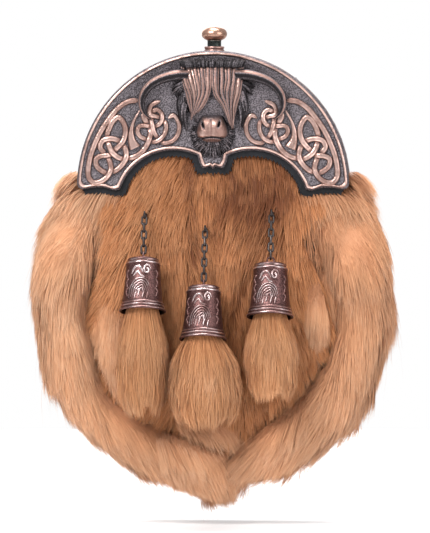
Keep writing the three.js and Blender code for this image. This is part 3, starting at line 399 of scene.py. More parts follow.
def lower_edge(inset):
    """The lower edge from the lobe's middle to the foot's outer corner."""
    r, foot = SCALLOP_R + inset, FOOT_DROP - inset
    start = math.acos((LOBE_HALF - inset - SCALLOP_X) / r)
    end = math.asin((SCALLOP_DROP - foot) / r)
    scallop = [(SCALLOP_X + r * math.cos(a), SCALLOP_DROP - r * math.sin(a))
               for a in np.linspace(start, end, 26)]
    lobe = [(x * (LOBE_HALF - inset), LOBE_DROP - inset - rise) for x, rise in LOBE]
    lobe = smooth_curve([(-lobe[1][0], lobe[1][1])] + lobe + [scallop[0]], 19)[3:-1]
    lobe[0] = (0, LOBE_DROP - inset)
    to = CANTLE_R - inset - CORNER_R
    corner = [(to + CORNER_R * math.cos(a), foot - CORNER_R * (1 + math.sin(a)))
              for a in np.radians(np.linspace(-90, -12, 8))]
    wave = [(scallop[-1][0] + (to - scallop[-1][0]) * x, foot - rise) for x, rise in FOOT_WAVE]
    wave = smooth_curve([scallop[-1]] + wave + [corner[0]], 16)[1:-1]
    return np.vstack([lobe, scallop, wave, corner])


def outline(inset):
    """The whole outline, counterclockwise from the right foot."""
    right = lower_edge(inset)
    r = CANTLE_R - inset
    start = math.asin((CANTLE_R - FOOT_DROP + inset + CORNER_R) / r)
    arch = [(r * math.cos(a), CANTLE_R - r * math.sin(a))
            for a in np.linspace(start, math.pi - start, ARCH_STEPS)]
    left = right[1:][::-1] * (-1, 1)
    return np.vstack([arch, left, right])


def ring_at(inset, depth):
    flat = outline(inset)
    return np.stack([flat[:, 0], np.full(len(flat), -depth), ARCH_TOP - flat[:, 1]], axis=1)


# Interlace, in hundredths of the arch's radius: x from the middle and a drop from the top

OUTER_KNOT = [
    (54, 36.4), (61.6, 37.2), (69.2, 41.9), (76, 49.9), (81.9, 58.7), (86, 67.1), (89.5, 76.4),
    (91.3, 85.6), (91.1, 92.4), (87.7, 96.5), (81.9, 95.7), (76.8, 91.5), (74.7, 85.6), (76.8, 78.9),
    (80.5, 73.9), (82.7, 70.5), (80.5, 65.9), (75.1, 64.5), (70.1, 65.5), (65.9, 68.8), (63.7, 73.1),
    (63.7, 78.9), (67.1, 84.4), (71.7, 88.1), (76, 89.5), (80.5, 88.5), (85.2, 84.4), (85.6, 79.3),
    (81.5, 77.1), (75.1, 76.3), (70.9, 72.1), (65.9, 66.3), (64, 58.7), (65.9, 52), (69.2, 48.7),
    (73.1, 51.6), (76, 57.1), (77.5, 62.1), (76.8, 67.1), (74.7, 73.1), (70.9, 77.2), (66.3, 79.3),
    (60, 78.5), (54.1, 76), (49.1, 70.5), (46.1, 63.7), (45.8, 58.5), (48, 53.5), (52, 46.5),
]
INNER_KNOT = [
    (32.5, 49.5), (28.6, 47.3), (24.9, 52.7), (24.9, 59.6), (28.7, 65.5), (35.9, 67.6), (41.7, 62.1),
    (43.9, 56.3), (45.1, 47.3), (43.5, 44.4), (40.9, 43.2), (37.5, 46.1), (37.1, 50.3), (40, 54.5),
    (45.1, 55.3), (53.5, 55.3), (55.2, 58.8), (53.5, 62.5), (49.3, 64.7), (44.3, 66.8), (40, 65.9),
    (35.9, 62.1), (34.1, 56.3), (35.5, 51.2), (40.9, 48.3), (46, 46.8), (45.1, 40.3), (38.4, 36.8),
]
CRESCENT = [(53.5, 44, 1.4), (57.6, 51, 1.8), (59.8, 59, 3.2), (59.3, 66, 5.2), (57, 71.4, 7.8)]
STRAND_W, STRAND_H = 3.7, 1.7


def relief(points):
    """From hundredths of the radius to x and z."""
    p = np.asarray(points, float) * CANTLE_R / 100
    return np.stack([p[:, 0], ARCH_TOP - p[:, 1]], axis=1)


def crossings(a, b, same):
    """Where two polylines cross, as steps along each."""
    found = []
    d, e = np.diff(a, axis=0), np.diff(b, axis=0)
    for i in range(len(d)):
        first = i + 3 if same else 0
        gap = b[first:-1] - a[i]
        turn = d[i, 0] * e[first:, 1] - d[i, 1] * e[first:, 0]
        turn = np.where(np.abs(turn) < 1e-12, 1e-12, turn)
        t = (gap[:, 0] * e[first:, 1] - gap[:, 1] * e[first:, 0]) / turn
        u = (gap[:, 0] * d[i, 1] - gap[:, 1] * d[i, 0]) / turn
        for j in np.nonzero((t >= 0) & (t < 1) & (u >= 0) & (u < 1))[0]:
            found.append((i + t[j], first + j + u[j]))
    return found


def woven(paths):
    """For each path, its crossings as (step, over). The first path goes over and under by turns."""
    passes = [[] for _ in paths]
    for a in range(len(paths)):
        for b in range(a, len(paths)):
            for s, t in crossings(paths[a], paths[b], a == b):
                one, two = {"at": s}, {"at": t}
                one["other"], two["other"] = two, one
                passes[a].append(one)
                passes[b].append(two)
    for run in passes:
        run.sort(key=lambda p: p["at"])
        votes = sum((-1 if p["other"]["over"] else 1) * (-1 if i % 2 else 1)
                    for i, p in enumerate(run) if "over" in p["other"])
        for i, p in enumerate(run):
            p["over"] = (i % 2 == 0) == (votes >= 0)
    for run in passes[1:]:
        for p in run:
            p["over"] = not p["other"]["over"]
    return [[(p["at"], p["over"]) for p in run] for run in passes]


def strand(parts, path, wide, lift, side):
    """A half-round strand on the plate, mirrored by side. lift is its crown's height at each step."""
    across = np.linspace(-1, 1, 9)
    dome = (1 - np.abs(across) ** 3.6) ** 0.55
    along = np.gradient(path, axis=0)
    along /= np.linalg.norm(along, axis=1)[:, None]
    normal = np.stack([-along[:, 1], along[:, 0]], axis=1)
    wide = np.broadcast_to(wide, len(path))
    flat = path[:, None] + normal[:, None] * (across[None, :, None] * wide[:, None, None] / 2)
    depth = FACE - 0.3 + (lift[:, None] + 0.3) * dome[None]
    rings = np.stack([side * flat[..., 0], -depth, flat[..., 1]], axis=2)
    points, faces = lofted(rings)
    if side < 0:
        faces = [face[::-1] for face in faces]
    dark = np.clip(1.25 - lift / STRAND_H, 0, 1)[:, None] * 0.9 + np.abs(across)[None] ** 6
    parts.add(points, faces, np.clip(dark, 0, 1).ravel())


def add_interlace(parts):
    paths = [smooth_curve(relief(OUTER_KNOT), 330), smooth_curve(relief(INNER_KNOT), 220)]
    dips = woven(paths)
    flat = relief([c[:2] for c in CRESCENT])
    crescent = smooth_curve([(*p, w[2] * CANTLE_R / 75) for p, w in zip(flat, CRESCENT)], 40)
    for side in (1, -1):
        for path, turns, wide in zip(paths, dips, (STRAND_W, STRAND_W * 0.84)):
            step = np.linalg.norm(path[1] - path[0])
            lift = np.full(len(path), STRAND_H)
            for at, over in turns:
                away = np.abs(np.arange(len(path)) - at) * step / (0.95 * STRAND_W)
                shape = (1 + np.cos(np.pi * np.clip(away, 0, 1))) / 2
                lift += shape * (0.35 if over else -1.35)
            ends = np.minimum(np.arange(len(path)), np.arange(len(path))[::-1]) * step
            width = wide * np.clip(0.35 + ends / 3.0, 0, 1)
            strand(parts, path, width, np.clip(lift, 0.2, None), side)
        tail = np.full(len(crescent), STRAND_H)
        strand(parts, crescent[:, :2], crescent[:, 2], tail, side)


# Highland cow head: x and a drop in hundredths of the radius, height over the plate in millimetres

HORN = [(17, 17.4, 3.4, 8.2), (26, 17.8, 4.2, 8.2), (36, 20.2, 4.6, 7.6), (44.6, 24.6, 4.8, 7),
        (50.4, 31.6, 4.7, 6.2), (51.9, 39.5, 4.2, 4.9), (49.6, 46.2, 3.7, 3.1), (45, 50.4, 3.4, 0.7)]
HORN_STEPS, HORN_SIDES = 44, 22


def lock(parts, rows, dark, groove, side=1, flat=0.8, count=9, sides=7):
    """A lock of cast hair through rows of x, drop, height over the plate and width."""
    rows = np.asarray(rows, float)
    flat_rows = relief(rows[:, :2])
    path = smooth_curve(np.column_stack([side * flat_rows[:, 0], FACE + rows[:, 2], flat_rows[:, 1],
                                         rows[:, 3] * CANTLE_R / 100]), count)
    points, faces, edge = limb(path[:, :3], path[:, 3], path[:, 3] * flat, sides)
    parts.add(points, faces, np.clip(dark + groove * edge ** 2, 0, 1))


def add_horns(parts):
    for side in (1, -1):
        rows = np.asarray(HORN, float)
        flat = relief(rows[:, :2])
        path = smooth_curve(np.column_stack([side * flat[:, 0], FACE + rows[:, 2], flat[:, 1],
                                             rows[:, 3] * CANTLE_R / 100]), HORN_STEPS)
        points, faces, _ = limb(path[:, :3], path[:, 3], path[:, 3], HORN_SIDES)
        around = np.tile(circle(HORN_SIDES), HORN_STEPS)
        outer = -side * np.cos(around)
        # Painted light: each horn is kept dark, with a painted highlight towards its outer side and a faint
        # one near its inner edge.
        shade = (0.98 - 0.74 * np.exp(-((outer - 0.55) / 0.23) ** 2)
                 - 0.1 * np.exp(-((outer + 0.7) / 0.2) ** 2))
        parts.add(points, faces, np.clip(shade, 0, 1))


# Locks of the fringe from the parting outwards: x at four drops, then the tip
FRINGE_DROPS = (9.8, 21.5, 31.6, 40.3)
FRINGE_LOCKS = 11
FRINGE_LEFT = [(1.2, 1.2, 2.5, 6.5, 11, 45.5), (5.8, 4.6, 5.3, 8.9, 12.5, 46.5),
               (10.9, 8.6, 8, 11, 15, 50), (16, 12.9, 11, 12.7, 15.5, 50.3),
               (19.8, 17.8, 14.2, 13.4, 15.4, 49.8), (21.8, 21.4, 18.8, 16.4, 15.8, 47)]
FRINGE_RIGHT = [(1.2, 0.9, 2.2, 8, 13, 53), (4.4, 4.2, 4.8, 9.8, 13.8, 55),
                (9.9, 10.2, 9.2, 10.9, 14, 55.5), (14.4, 14.2, 12.8, 13, 14.5, 56.5),
                (18.2, 17.6, 16.2, 14.9, 14.8, 57), (21.8, 21.3, 19.6, 17.2, 15.6, 54)]


def add_fringe(parts):
    """Long hair parted in the middle, gathered to a point on each side of the muzzle."""
    for side, table in ((-1, FRINGE_LEFT), (1, FRINGE_RIGHT)):
        table = np.array(table)
        for k in range(FRINGE_LOCKS):
            share = k / (FRINGE_LOCKS - 1)
            row = [np.interp(share * (len(table) - 1), np.arange(len(table)), table[:, i])
                   for i in range(6)]
            wander = rng.uniform(-0.35, 0.35, 5)
            height = 7.4 - 3.6 * share ** 2 + (0.7 if k % 2 else -0.3)
            places = [(row[i] + wander[i], FRINGE_DROPS[i]) for i in range(4)]
            widths = (3.6, 3.6, 3.1, 2.4)
            lowered = (2.8, 0.6, 0.0, 0.3)
            rows = [(x, drop, height - lower, wide)
                    for (x, drop), lower, wide in zip(places, lowered, widths)]
            tip = (row[4] + wander[4], row[5] + rng.uniform(-1.2, 1.2), height - 1.2 - share, 0.6)
            lock(parts, rows + [tip], flat=1.0, count=18, sides=9, dark=0.14 + 0.22 * rng.random(),
                 groove=1.1, side=side)
            if k % 2 == 0:
                thin = [(x + 0.9, drop, h + (0.55 if drop > 12 else -1.5), 1.0) for x, drop, h, _ in rows]
                lock(parts, thin + [(tip[0] + 0.3, tip[1] - 2, tip[2], 0.4)], count=16, dark=0.42,
                     groove=0.9, side=side)
    for k in range(9):
        x = -3.2 + 0.8 * k
        lock(parts,
             [(x, 12.5, 2.8, 2.6), (x * 1.1, 22, 4.4, 2.8), (x * 1.5, 33 + rng.uniform(-2, 2), 4.6, 0.8)],
             dark=0.75, groove=0.3)


def add_crest(parts):
    for k in range(36):
        x = -21 + 42 * k / 35 + rng.uniform(-0.6, 0.6)
        lean = x * 0.16 + rng.uniform(-1, 1)
        lock(parts, [(x, 12.2, 6.9, 3.0), (x + lean * 0.4, 9.4, 6.8, 2.8),
                     (x + lean, 6.4 + rng.uniform(-0.8, 1.2), 1.4, 0.6)],
             dark=0.86 + 0.1 * rng.random(), groove=0.3)


def add_ears(parts):
    for side in (-1, 1):
        for k in range(13):
            share = k / 12
            start = (18.5 + 2.5 * share, 22 + 4 * share)
            angle = math.radians(20 + 85 * share) + rng.uniform(-0.1, 0.1)
            reach = 14 - 5 * share + rng.uniform(-1, 1)
            middle = (start[0] + reach * 0.55 * math.cos(angle), start[1] + reach * 0.5 * math.sin(angle))
            end = (start[0] + reach * math.cos(angle) * 0.95, start[1] + reach * math.sin(angle) * 1.08)
            lock(parts, [(*start, 2.6, 3.6), (*middle, 3.0 - share, 3.2), (*end, 1.0, 0.6)],
                 dark=0.76 + 0.2 * rng.random(), groove=0.3, side=side)
        for k in range(16):
            share = k / 15
            x = 18.5 + 4.5 * math.sin(3 * share) + rng.uniform(-1, 1)
            lock(parts, [(x, 27 + 13 * share, 2.9, 3.2), (x + 1.2, 35 + 13 * share, 3.1, 2.9),
                         (x - 1.8 + 1.5 * share, 44 + 15 * share, 1.2, 0.6)],
                 dark=0.72 + 0.22 * rng.random(), groove=0.3, side=side)


def add_beard(parts):
    for row, (inner, outer, count) in enumerate(((7.5, 12.5, 25), (8.5, 15.6, 29), (9.5, 18.6, 33))):
        for k in range(count):
            angle = -1.86 + 3.72 * k / (count - 1) + rng.uniform(-0.03, 0.03)
            reach = outer * (1 - 0.12 * abs(math.sin(angle))) + rng.uniform(-0.6, 0.6)
            place = [(r * math.sin(angle + bend), 59.5 + r * math.cos(angle + bend) + sag)
                     for r, bend, sag in ((inner, 0, 0), ((inner + reach) / 2, 0.03, 0.3),
                                          (reach, 0.04 * math.copysign(1, angle), 1.4))]
            lift = 3.8 - 0.8 * row
            lock(parts, [(*place[0], lift, 2.2), (*place[1], lift - 0.3, 2.5), (*place[2], 0.7, 0.6)],
                 dark=0.72 + 0.2 * rng.random(), groove=0.45)


def add_muzzle(parts):
    """The muzzle as a grid of heights: a broad nose pad, two nostrils, a mouth line and the chin."""
    n = 61
    u, v = np.meshgrid(np.linspace(-1, 1, n), np.linspace(0, 1, n))
    top, bottom = 46.5, 69.0
    drop = top + (bottom - top) * v
    half = np.interp(drop, [46.5, 50, 55, 59.5, 62.5, 64.5, 67, 69],
                     [8.2, 9.6, 11.4, 12.6, 12.2, 9.2, 7.6, 4.5])
    x = u * half
    dome = (1 - np.abs(u) ** 3.4) ** 0.6 * (1 - np.abs(2 * v - 1) ** 3.6) ** 0.5
    height = 0.6 + 8.4 * dome - 1.8 * np.clip((drop - 63.5) / 3.0, 0, 1)
    nostrils = ((-6.6, 54.6, 0.25), (5.2, 54.0, -0.25))
    for at_x, at_drop, slant in nostrils:
        away = x - at_x - slant * (drop - at_drop)
        height += 0.7 * np.exp(-((away / 2.6) ** 2 + ((drop - at_drop) / 4.4) ** 2))
        height -= 2.4 * np.exp(-((away / 0.95) ** 2 + ((drop - at_drop) / 2.5) ** 2))
    cleft = np.exp(-(((x + 0.6) / 0.6) ** 2)) * (drop > 50) * (drop < 62)
    mouth = np.exp(-(((drop - 63.4 - 0.02 * x * x) / 0.7) ** 2)) * (np.abs(x) < 9)
    bridge = np.clip(1 - (drop - 46.5) / 6.5, 0, 1)
    height += -0.45 * cleft - 1.3 * mouth
    points = np.stack([x.ravel() * CANTLE_R / 100, -(FACE + height.ravel()),
                       ARCH_TOP - drop.ravel() * CANTLE_R / 100], 1)
    faces = [[i * n + j, (i + 1) * n + j, (i + 1) * n + j + 1, i * n + j + 1]
             for i in range(n - 1) for j in range(n - 1)]
    edge = (list(range(n)) + [(i + 1) * n - 1 for i in range(1, n)]
            + list(range(n * n - 2, n * (n - 1) - 1, -1)))
    edge += [i * n for i in range(n - 2, 0, -1)]
    skirt = points[edge].copy()
    skirt[:, 1] = -(FACE - 0.5)
    base = len(points)
    faces += [[edge[i], edge[(i + 1) % len(edge)], base + (i + 1) % len(edge), base + i]
              for i in range(len(edge))]
    faces.append([base + i for i in range(len(edge))][::-1])
    ripples = 0.5 + 0.5 * np.sin(x * 4.2)
    dark = (0.25 + 1.0 * mouth + 0.7 * bridge + 0.9 * np.exp(-((np.abs(u) - 1) / 0.14) ** 2)
            + 0.3 * (drop > 64) * ripples + 0.35 * (drop > 66.5) + 0.3 * cleft)
    for at_x, at_drop, slant in nostrils:
        away = x - at_x - slant * (drop - at_drop)
        dark += 1.2 * np.exp(-((away / 1.0) ** 2 + ((drop - at_drop) / 2.6) ** 2))
    parts.add(np.vstack([points, skirt]), faces,
              np.clip(np.concatenate([dark.ravel(), np.ones(len(edge))]), 0, 1))


def add_brow(parts):
    """The head's mound under the hair."""
    angle = circle(40)
    rings = []
    for share in np.linspace(0, 1, 12):
        r = math.cos(share * math.pi / 2)
        rings.append([(0.195 * CANTLE_R * r * math.cos(a),
                       -(FACE - 0.3 + 5.6 * math.sin(share * math.pi / 2)),
                       ARCH_TOP - 0.34 * CANTLE_R + 0.235 * CANTLE_R * r * math.sin(a)) for a in angle])
    parts.add(*lofted(rings), 0.85)


def make_cantle():
    parts = Parts()
    plate = [(1.9, WALL_BACK), (0.4, WALL_BACK), (0.0, WALL_BACK + 0.4), (0.0, FACE - 1.0),
             (0.25, FACE - 0.1), (0.7, FACE + 0.15), (1.0, FACE + 0.75), (1.45, FACE + 1.15),
             (1.9, FACE + 1.15), (2.3, FACE + 0.75), (2.55, FACE + 0.1), (2.8, FACE)]
    rings = np.array([ring_at(inset, depth) for inset, depth in plate])
    shade = np.array([0.8, 0.8, 0.75, 0.6, 0.35, 0.75, 0.15, 0.0, 0.0, 0.2, 1.0, 0.76])
    low = rings[:, :, 2] < ARCH_MID + 6
    lower = ((np.abs(rings[:, :, 0]) < CANTLE_R - 4)
             & (np.hypot(rings[:, :, 0], rings[:, :, 2] - ARCH_MID) < CANTLE_R - 4))
    rings[:3, :, 1] = np.where((low & lower)[:3], -(FACE - 2), rings[:3, :, 1])
    parts.add(*lofted(rings), np.repeat(shade, rings.shape[1]))
    add_interlace(parts)
    add_brow(parts)
    add_horns(parts)
    add_ears(parts)
    add_crest(parts)
    add_fringe(parts)
    add_beard(parts)
    add_muzzle(parts)
    ob = parts.build("cantle_casting", COPPER)
    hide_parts("cantle")


# Mouth frame, collar and knob

def make_frame_band():
    parts = Parts()
    back, front = -BAND_HIGH[1], -BAND_LOW[1]
    section = [(0.0, back + 0.4), (0.0, front - 0.4), (0.4, front), (1.4, front), (1.8, front - 0.4),
               (1.8, back + 0.4), (1.4, back), (0.4, back)]
    angle = np.linspace(0, math.pi, 121)
    rings = [[((CANTLE_R - t) * math.cos(a), -d, ARCH_MID + (CANTLE_R - t) * math.sin(a))
              for t, d in section] for a in angle]
    parts.add(*lofted(rings), np.tile([0.35, 0.35, 0.15, 0.6, 0.8, 0.8, 0.6, 0.15], len(angle)))
    middle = (KNOB_LOW[1] + KNOB_HIGH[1]) / 2
    collar_top = BAND_HIGH[2]
    base = ARCH_TOP - 0.8
    collar = [(4.25, base), (5.2, base), (5.65, ARCH_TOP + 0.1), (5.65, ARCH_TOP + 0.5),
              (5.2, ARCH_TOP + 0.75), (5.1, ARCH_TOP + 1.0), (5.3, ARCH_TOP + 1.3),
              (5.6, ARCH_TOP + 1.7), (5.5, collar_top - 0.35), (5.1, collar_top), (4.25, collar_top)]
    angle = circle(56)
    rings = [[(r * math.cos(a), middle + r * math.sin(a), h) for a in angle] for r, h in collar]
    points, faces = lofted(rings, looped=True)
    parts.add(points, faces, np.repeat([0.9, 0.9, 0.1, 0.0, 0.5, 0.6, 0.1, 0.0, 0.0, 0.1, 0.9], len(angle)))
    ob = parts.build("mouth_frame", FRAME_METAL)
    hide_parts("frame_band")


def make_knob():
    middle = (KNOB_LOW[1] + KNOB_HIGH[1]) / 2
    collar_top = BAND_HIGH[2]
    low, high = collar_top + 3.1, KNOB_HIGH[2]
    r = (KNOB_HIGH[0] - KNOB_LOW[0]) / 2
    keeper = KNOB_LOW[2]
    steps = 56
    turns = np.linspace(-1.15, math.pi / 2, 22)
    start = math.sin(-1.15)
    ball = [(max(r * max(math.cos(a), 0) ** 0.8, 0.01),
             low + (high - low) * (math.sin(a) - start) / (1 - start))
            for a in turns]
    stem = [(0.01, keeper), (5.0, keeper), (5.2, keeper + 0.2), (5.2, keeper + 1.0), (5.0, keeper + 1.2),
            (3.8, keeper + 1.2), (3.8, low - 0.3), (4.1, low)]
    profile = stem + ball
    points, faces = turned(profile, steps, (0, middle, 0))
    # Painted light: the ball's top is a painted highlight, and its underside and the stem below it are kept
    # darker as painted shade.
    shade = [0.9] * 6 + [0.95, 0.7] + [0.5, 0.35, 0.2] + [0.05] * (len(ball) - 3)
    parts = Parts()
    parts.add(points, faces, np.repeat(shade, steps))
    ob = parts.build("clasp_knob", KNOB_METAL, body="knob")
    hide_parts("knob")


# Leather

def cad_arrays(name):
    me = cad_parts[name].data
    points = np.zeros(len(me.vertices) * 3)
    me.vertices.foreach_get("co", points)
    return points.reshape(-1, 3) / MM


def leather_copy(name, node_names, material, bevel):
    """The leather solids themselves, with flat parts merged and sharp edges softened."""
    me = bpy.data.meshes.new(name)
    work = bmesh.new()
    for n in node_names:
        work.from_mesh(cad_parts[n].data)
    bmesh.ops.remove_doubles(work, verts=work.verts, dist=1e-6)
    bmesh.ops.dissolve_limit(work, angle_limit=0.02, verts=work.verts, edges=work.edges)
    sharp = [e for e in work.edges if len(e.link_faces) == 2 and e.calc_face_angle(0) > 0.9]
    bmesh.ops.bevel(work, geom=sharp, offset=bevel * MM, segments=2, profile=0.6, affect="EDGES")
    bmesh.ops.triangulate(work, faces=[f for f in work.faces if len(f.verts) > 4])
    work.to_mesh(me)
    work.free()
    for polygon in me.polygons:
        polygon.use_smooth = True
    ob = bpy.data.objects.new(name, me)
    bpy.context.scene.collection.objects.link(ob)
    me.materials.append(material)
    me.set_sharp_from_angle(angle=0.6)
    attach(ob, "root")
    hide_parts(*node_names)


def pouch_half(z):
    """Half the back panel's width at a height, from its own outline."""
    points = cad_arrays("back_panel")
    edge = points[points[:, 0] > 0]
    order = np.argsort(edge[:, 2])
    return np.interp(z, edge[order, 2], edge[order, 0])


def stitches(name, path, normal, length=2.6, gap=1.3, radius=0.33):
    """Short raised threads along a path, a little sunk into the leather."""
    run = np.concatenate([[0], np.cumsum(np.linalg.norm(np.diff(path, axis=0), axis=1))])
    count = int(run[-1] / (length + gap))
    shape = np.array([(-0.5, -0.25), (-0.3, 0.2), (0, 0.36), (0.3, 0.2), (0.5, -0.25)])
    angle = circle(6)
    points, faces = [], []
    for k in range(count):
        middle = (k + 0.5) * run[-1] / count
        a, b = ([np.interp(middle + s * length, run, path[:, i]) for i in range(3)] for s in (-0.5, 0.5))
        a, b = np.array(a), np.array(b)
        along = (b - a) / np.linalg.norm(b - a)
        across = np.cross(along, normal)
        rings = [(a + b) / 2 + along * s * length + np.array(normal) * h + radius * (
            np.cos(t) * across + np.sin(t) * np.array(normal)) for s, h in shape for t in angle]
        made, made_faces = lofted(np.array(rings).reshape(len(shape), 6, 3))
        faces += [[i + len(points) for i in face] for face in made_faces]
        points += made.tolist()
    ob = mesh_object(name, points, faces, THREAD)


def make_leather():
    leather_copy("pinked_edge", ["pinked_backing"], PINKED_LEATHER, 0.12)
    leather_copy("pouch_back", ["back_panel"], POUCH_LEATHER, 0.7)
    leather_copy("pouch_gusset", ["gusset"], POUCH_LEATHER, 0.4)
    leather_copy("pouch_front", ["front_panel"], POUCH_LEATHER, 0.4)
    leather_copy("strap_loops", ["strap_loop_left", "strap_loop_right"], POUCH_LEATHER,
                 0.4)
    inset = 4.0
    arch = [((CANTLE_R - inset) * math.cos(a), 0.05, ARCH_MID + (CANTLE_R - inset) * math.sin(a))
            for a in np.linspace(0, math.pi, 90)]
    heights = np.linspace(ARCH_MID - 10, BACK_LOW[2] + inset + 1, 40)
    side = [(max(pouch_half(z) - inset, 0), 0.05, z) for z in heights]
    seam = np.array([(-x, y, z) for x, y, z in side][::-1] + arch[::-1] + side)
    stitches("back_stitching", seam, (0, 1, 0))
    for name in ("left", "right"):
        low, high = (np.array(corner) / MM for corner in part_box(f"strap_loop_{name}"))
        for z, label in ((low[2] + 2, "low"), (high[2] - 2, "high")):
            row = np.array([(x, 2.35, z) for x in np.linspace(low[0] + 1.5, high[0] - 1.5, 12)])
            stitches(f"loop_stitching_{name}_{label}", row, (0, 1, 0), 2.0, 1.0, 0.3)


# Fur

HIDES = []  # the points and triangles of every skin, for hair that is laid over them


class Skin:
    """A CAD fur solid, remeshed, smoothed and sunk, to grow hair on."""

    def __init__(self, name, node_name, material, slot, sink, tone_and_shade, voxel=2.6, low_sink=0.0, shape=None):
        source = bmesh.new()
        source.from_mesh(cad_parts[node_name].data)
        bmesh.ops.remove_doubles(source, verts=source.verts, dist=1e-5)
        me = bpy.data.meshes.new(name + "_source")
        source.to_mesh(me)
        source.free()
        ob = bpy.data.objects.new(name + "_source", me)
        bpy.context.scene.collection.objects.link(ob)
        remesh = ob.modifiers.new("remesh", "REMESH")
        remesh.mode = "VOXEL"
        remesh.voxel_size = voxel * MM
        soften = ob.modifiers.new("smooth", "SMOOTH")
        soften.factor, soften.iterations = 0.6, 10
        graph = bpy.context.evaluated_depsgraph_get()
        made = bpy.data.meshes.new_from_object(ob.evaluated_get(graph))
        bpy.data.objects.remove(ob)
        count = len(made.vertices)
        co, normal = np.zeros(count * 3), np.zeros(count * 3)
        made.vertices.foreach_get("co", co)
        made.vertices.foreach_get("normal", normal)
        self.points = co.reshape(-1, 3) / MM
        self.normals = normal.reshape(-1, 3)
        self.points -= self.normals * (sink + low_sink * np.clip(-self.normals[:, 2:], 0, 1))
        made.calc_loop_triangles()
        tris = np.zeros(len(made.loop_triangles) * 3, np.int32)
        made.loop_triangles.foreach_get("vertices", tris)
        self.tris = tris.reshape(-1, 3)
        if shape:
            self.points = shape(self.points)
        made.vertices.foreach_set("co", (self.points * MM).astype(np.float32).ravel())
        made.name = name
        made.update()
        made.vertices.foreach_get("normal", normal)
        self.normals = normal.reshape(-1, 3).copy()
        hide = bpy.data.objects.new(name, made)
        bpy.context.scene.collection.objects.link(hide)
        made.materials.clear()
        made.materials.append(material)
        for polygon in made.polygons:
            polygon.use_smooth = True
        attribute(hide, "along", np.full(count, 0.25))
        HIDES.append((self.points, self.tris))
        attribute(hide, "tone_and_shade", np.full(count, tone_and_shade))
        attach(hide, "root")

    def scatter(self, count, weight):
        return scattered(self.points, self.tris, self.normals, count, weight)


def scattered(points, tris, normals, count, weight):
    """Random roots on triangles, more of them where weight(place, normal) is larger."""
    corners, turned_out = points[tris], normals[tris]
    area = np.linalg.norm(np.cross(corners[:, 1] - corners[:, 0], corners[:, 2] - corners[:, 0]),
                          axis=1) / 2
    chance = area * weight(corners.mean(axis=1), turned_out.mean(axis=1))
    picked = rng.choice(len(tris), count, p=chance / chance.sum())
    a, b = rng.random(count), rng.random(count)
    flip = a + b > 1
    a[flip], b[flip] = 1 - a[flip], 1 - b[flip]
    c, n = corners[picked], turned_out[picked]
    place = c[:, 0] + a[:, None] * (c[:, 1] - c[:, 0]) + b[:, None] * (c[:, 2] - c[:, 0])
    normal = n[:, 0] + a[:, None] * (n[:, 1] - n[:, 0]) + b[:, None] * (n[:, 2] - n[:, 0])
    return place, unit(normal)


def unit(v):
    return v / np.maximum(np.linalg.norm(v, axis=-1, keepdims=True), 1e-9)


def grown(roots, normals, direction, length, steps, sag, hug):
    """Hair paths from the roots: they start along direction, sink under their weight and lie back."""
    paths = [roots]
    d = unit(direction)
    for _ in range(steps):
        paths.append(paths[-1] + d * (length / steps)[:, None])
        d = unit(d - np.multiply.outer(np.broadcast_to(sag, len(roots)), (0, 0, 1))
                 - normals * np.broadcast_to(hug, len(roots))[:, None])
    return np.stack(paths, axis=1)


def clumped(paths, pull, spacing, power=1.4):
    """Draws each hair towards a neighbour's path, more so near its tip, so that locks form."""
    count = len(paths)
    guides = rng.choice(count, max(count // spacing, 1), replace=False)
    tree = KDTree(len(guides))
    for i, g in enumerate(guides):
        tree.insert(paths[g, 0], i)
    tree.balance()
    near = guides[[tree.find(p)[1] for p in paths[:, 0]]]
    share = np.linspace(0, 1, paths.shape[1])[None, :, None] ** power
    strength = (pull * (0.45 + 0.75 * rng.random(count)[near]))[:, None, None]
    return paths + (paths[near] - paths) * share * np.clip(strength, 0, 0.95), near


def hair_mesh(name, paths, normals, width, tone_and_shade, material):
    """Tapered ribbons along the paths, each with its own tilt, and a map with a cell for each hair."""
    count, rings = paths.shape[:2]
    along = unit(np.gradient(paths, axis=1))
    side = unit(np.cross(along, normals[:, None, :]))
    out = np.cross(side, along)
    tilt = rng.uniform(-0.6, 0.6, count)[:, None, None]
    side = side * np.cos(tilt) + out * np.sin(tilt)
    share = np.linspace(0, 1, rings)
    shape = np.interp(share, [0, 0.3, 0.75, 1], [0.75, 1.0, 0.7, 0.0])
    half = (width[:, None] * shape[None] / 2)[..., None]
    left, right = (paths - side * half)[:, :-1], (paths + side * half)[:, :-1]
    body = np.stack([left, right], axis=2).reshape(count, -1, 3)
    points = np.concatenate([body, paths[:, -1:]], axis=1)
    per = 2 * (rings - 1) + 1
    first = np.arange(count)[:, None] * per
    faces = []
    for k in range(rings - 2):
        a = 2 * k
        faces += [first + np.array([[a, a + 1, a + 3]]), first + np.array([[a, a + 3, a + 2]])]
    faces.append(first + np.array([[per - 3, per - 2, per - 1]]))
    faces = np.stack(faces, axis=1).reshape(-1, 3)
    ob = mesh_object(name, points.reshape(-1, 3), faces, material)
    along_point = np.concatenate([np.repeat(share[:-1], 2), share[-1:]])
    attribute(ob, "along", np.tile(along_point, count))
    attribute(ob, "tone_and_shade", np.repeat(tone_and_shade, per))
    # One narrow cell for each hair
    cols = int(math.ceil(math.sqrt(count * 5)))
    rows = int(math.ceil(count / cols))
    cell = np.arange(count)
    x0, y0 = (cell % cols) / cols, (cell // cols) / rows
    u = np.tile([0.2, 0.8], rings - 1)
    v = np.repeat(np.linspace(0.06, 0.8, rings - 1), 2)
    u, v = np.append(u, 0.5), np.append(v, 0.94)
    uv = np.stack([x0[:, None] + u[None] / cols, y0[:, None] + v[None] / rows], axis=2).reshape(-1, 2)
    layer = ob.data.uv_layers.new(name="OFBake")
    layer.data.foreach_set("uv", uv[faces.ravel()].astype(np.float32).ravel())
    return ob


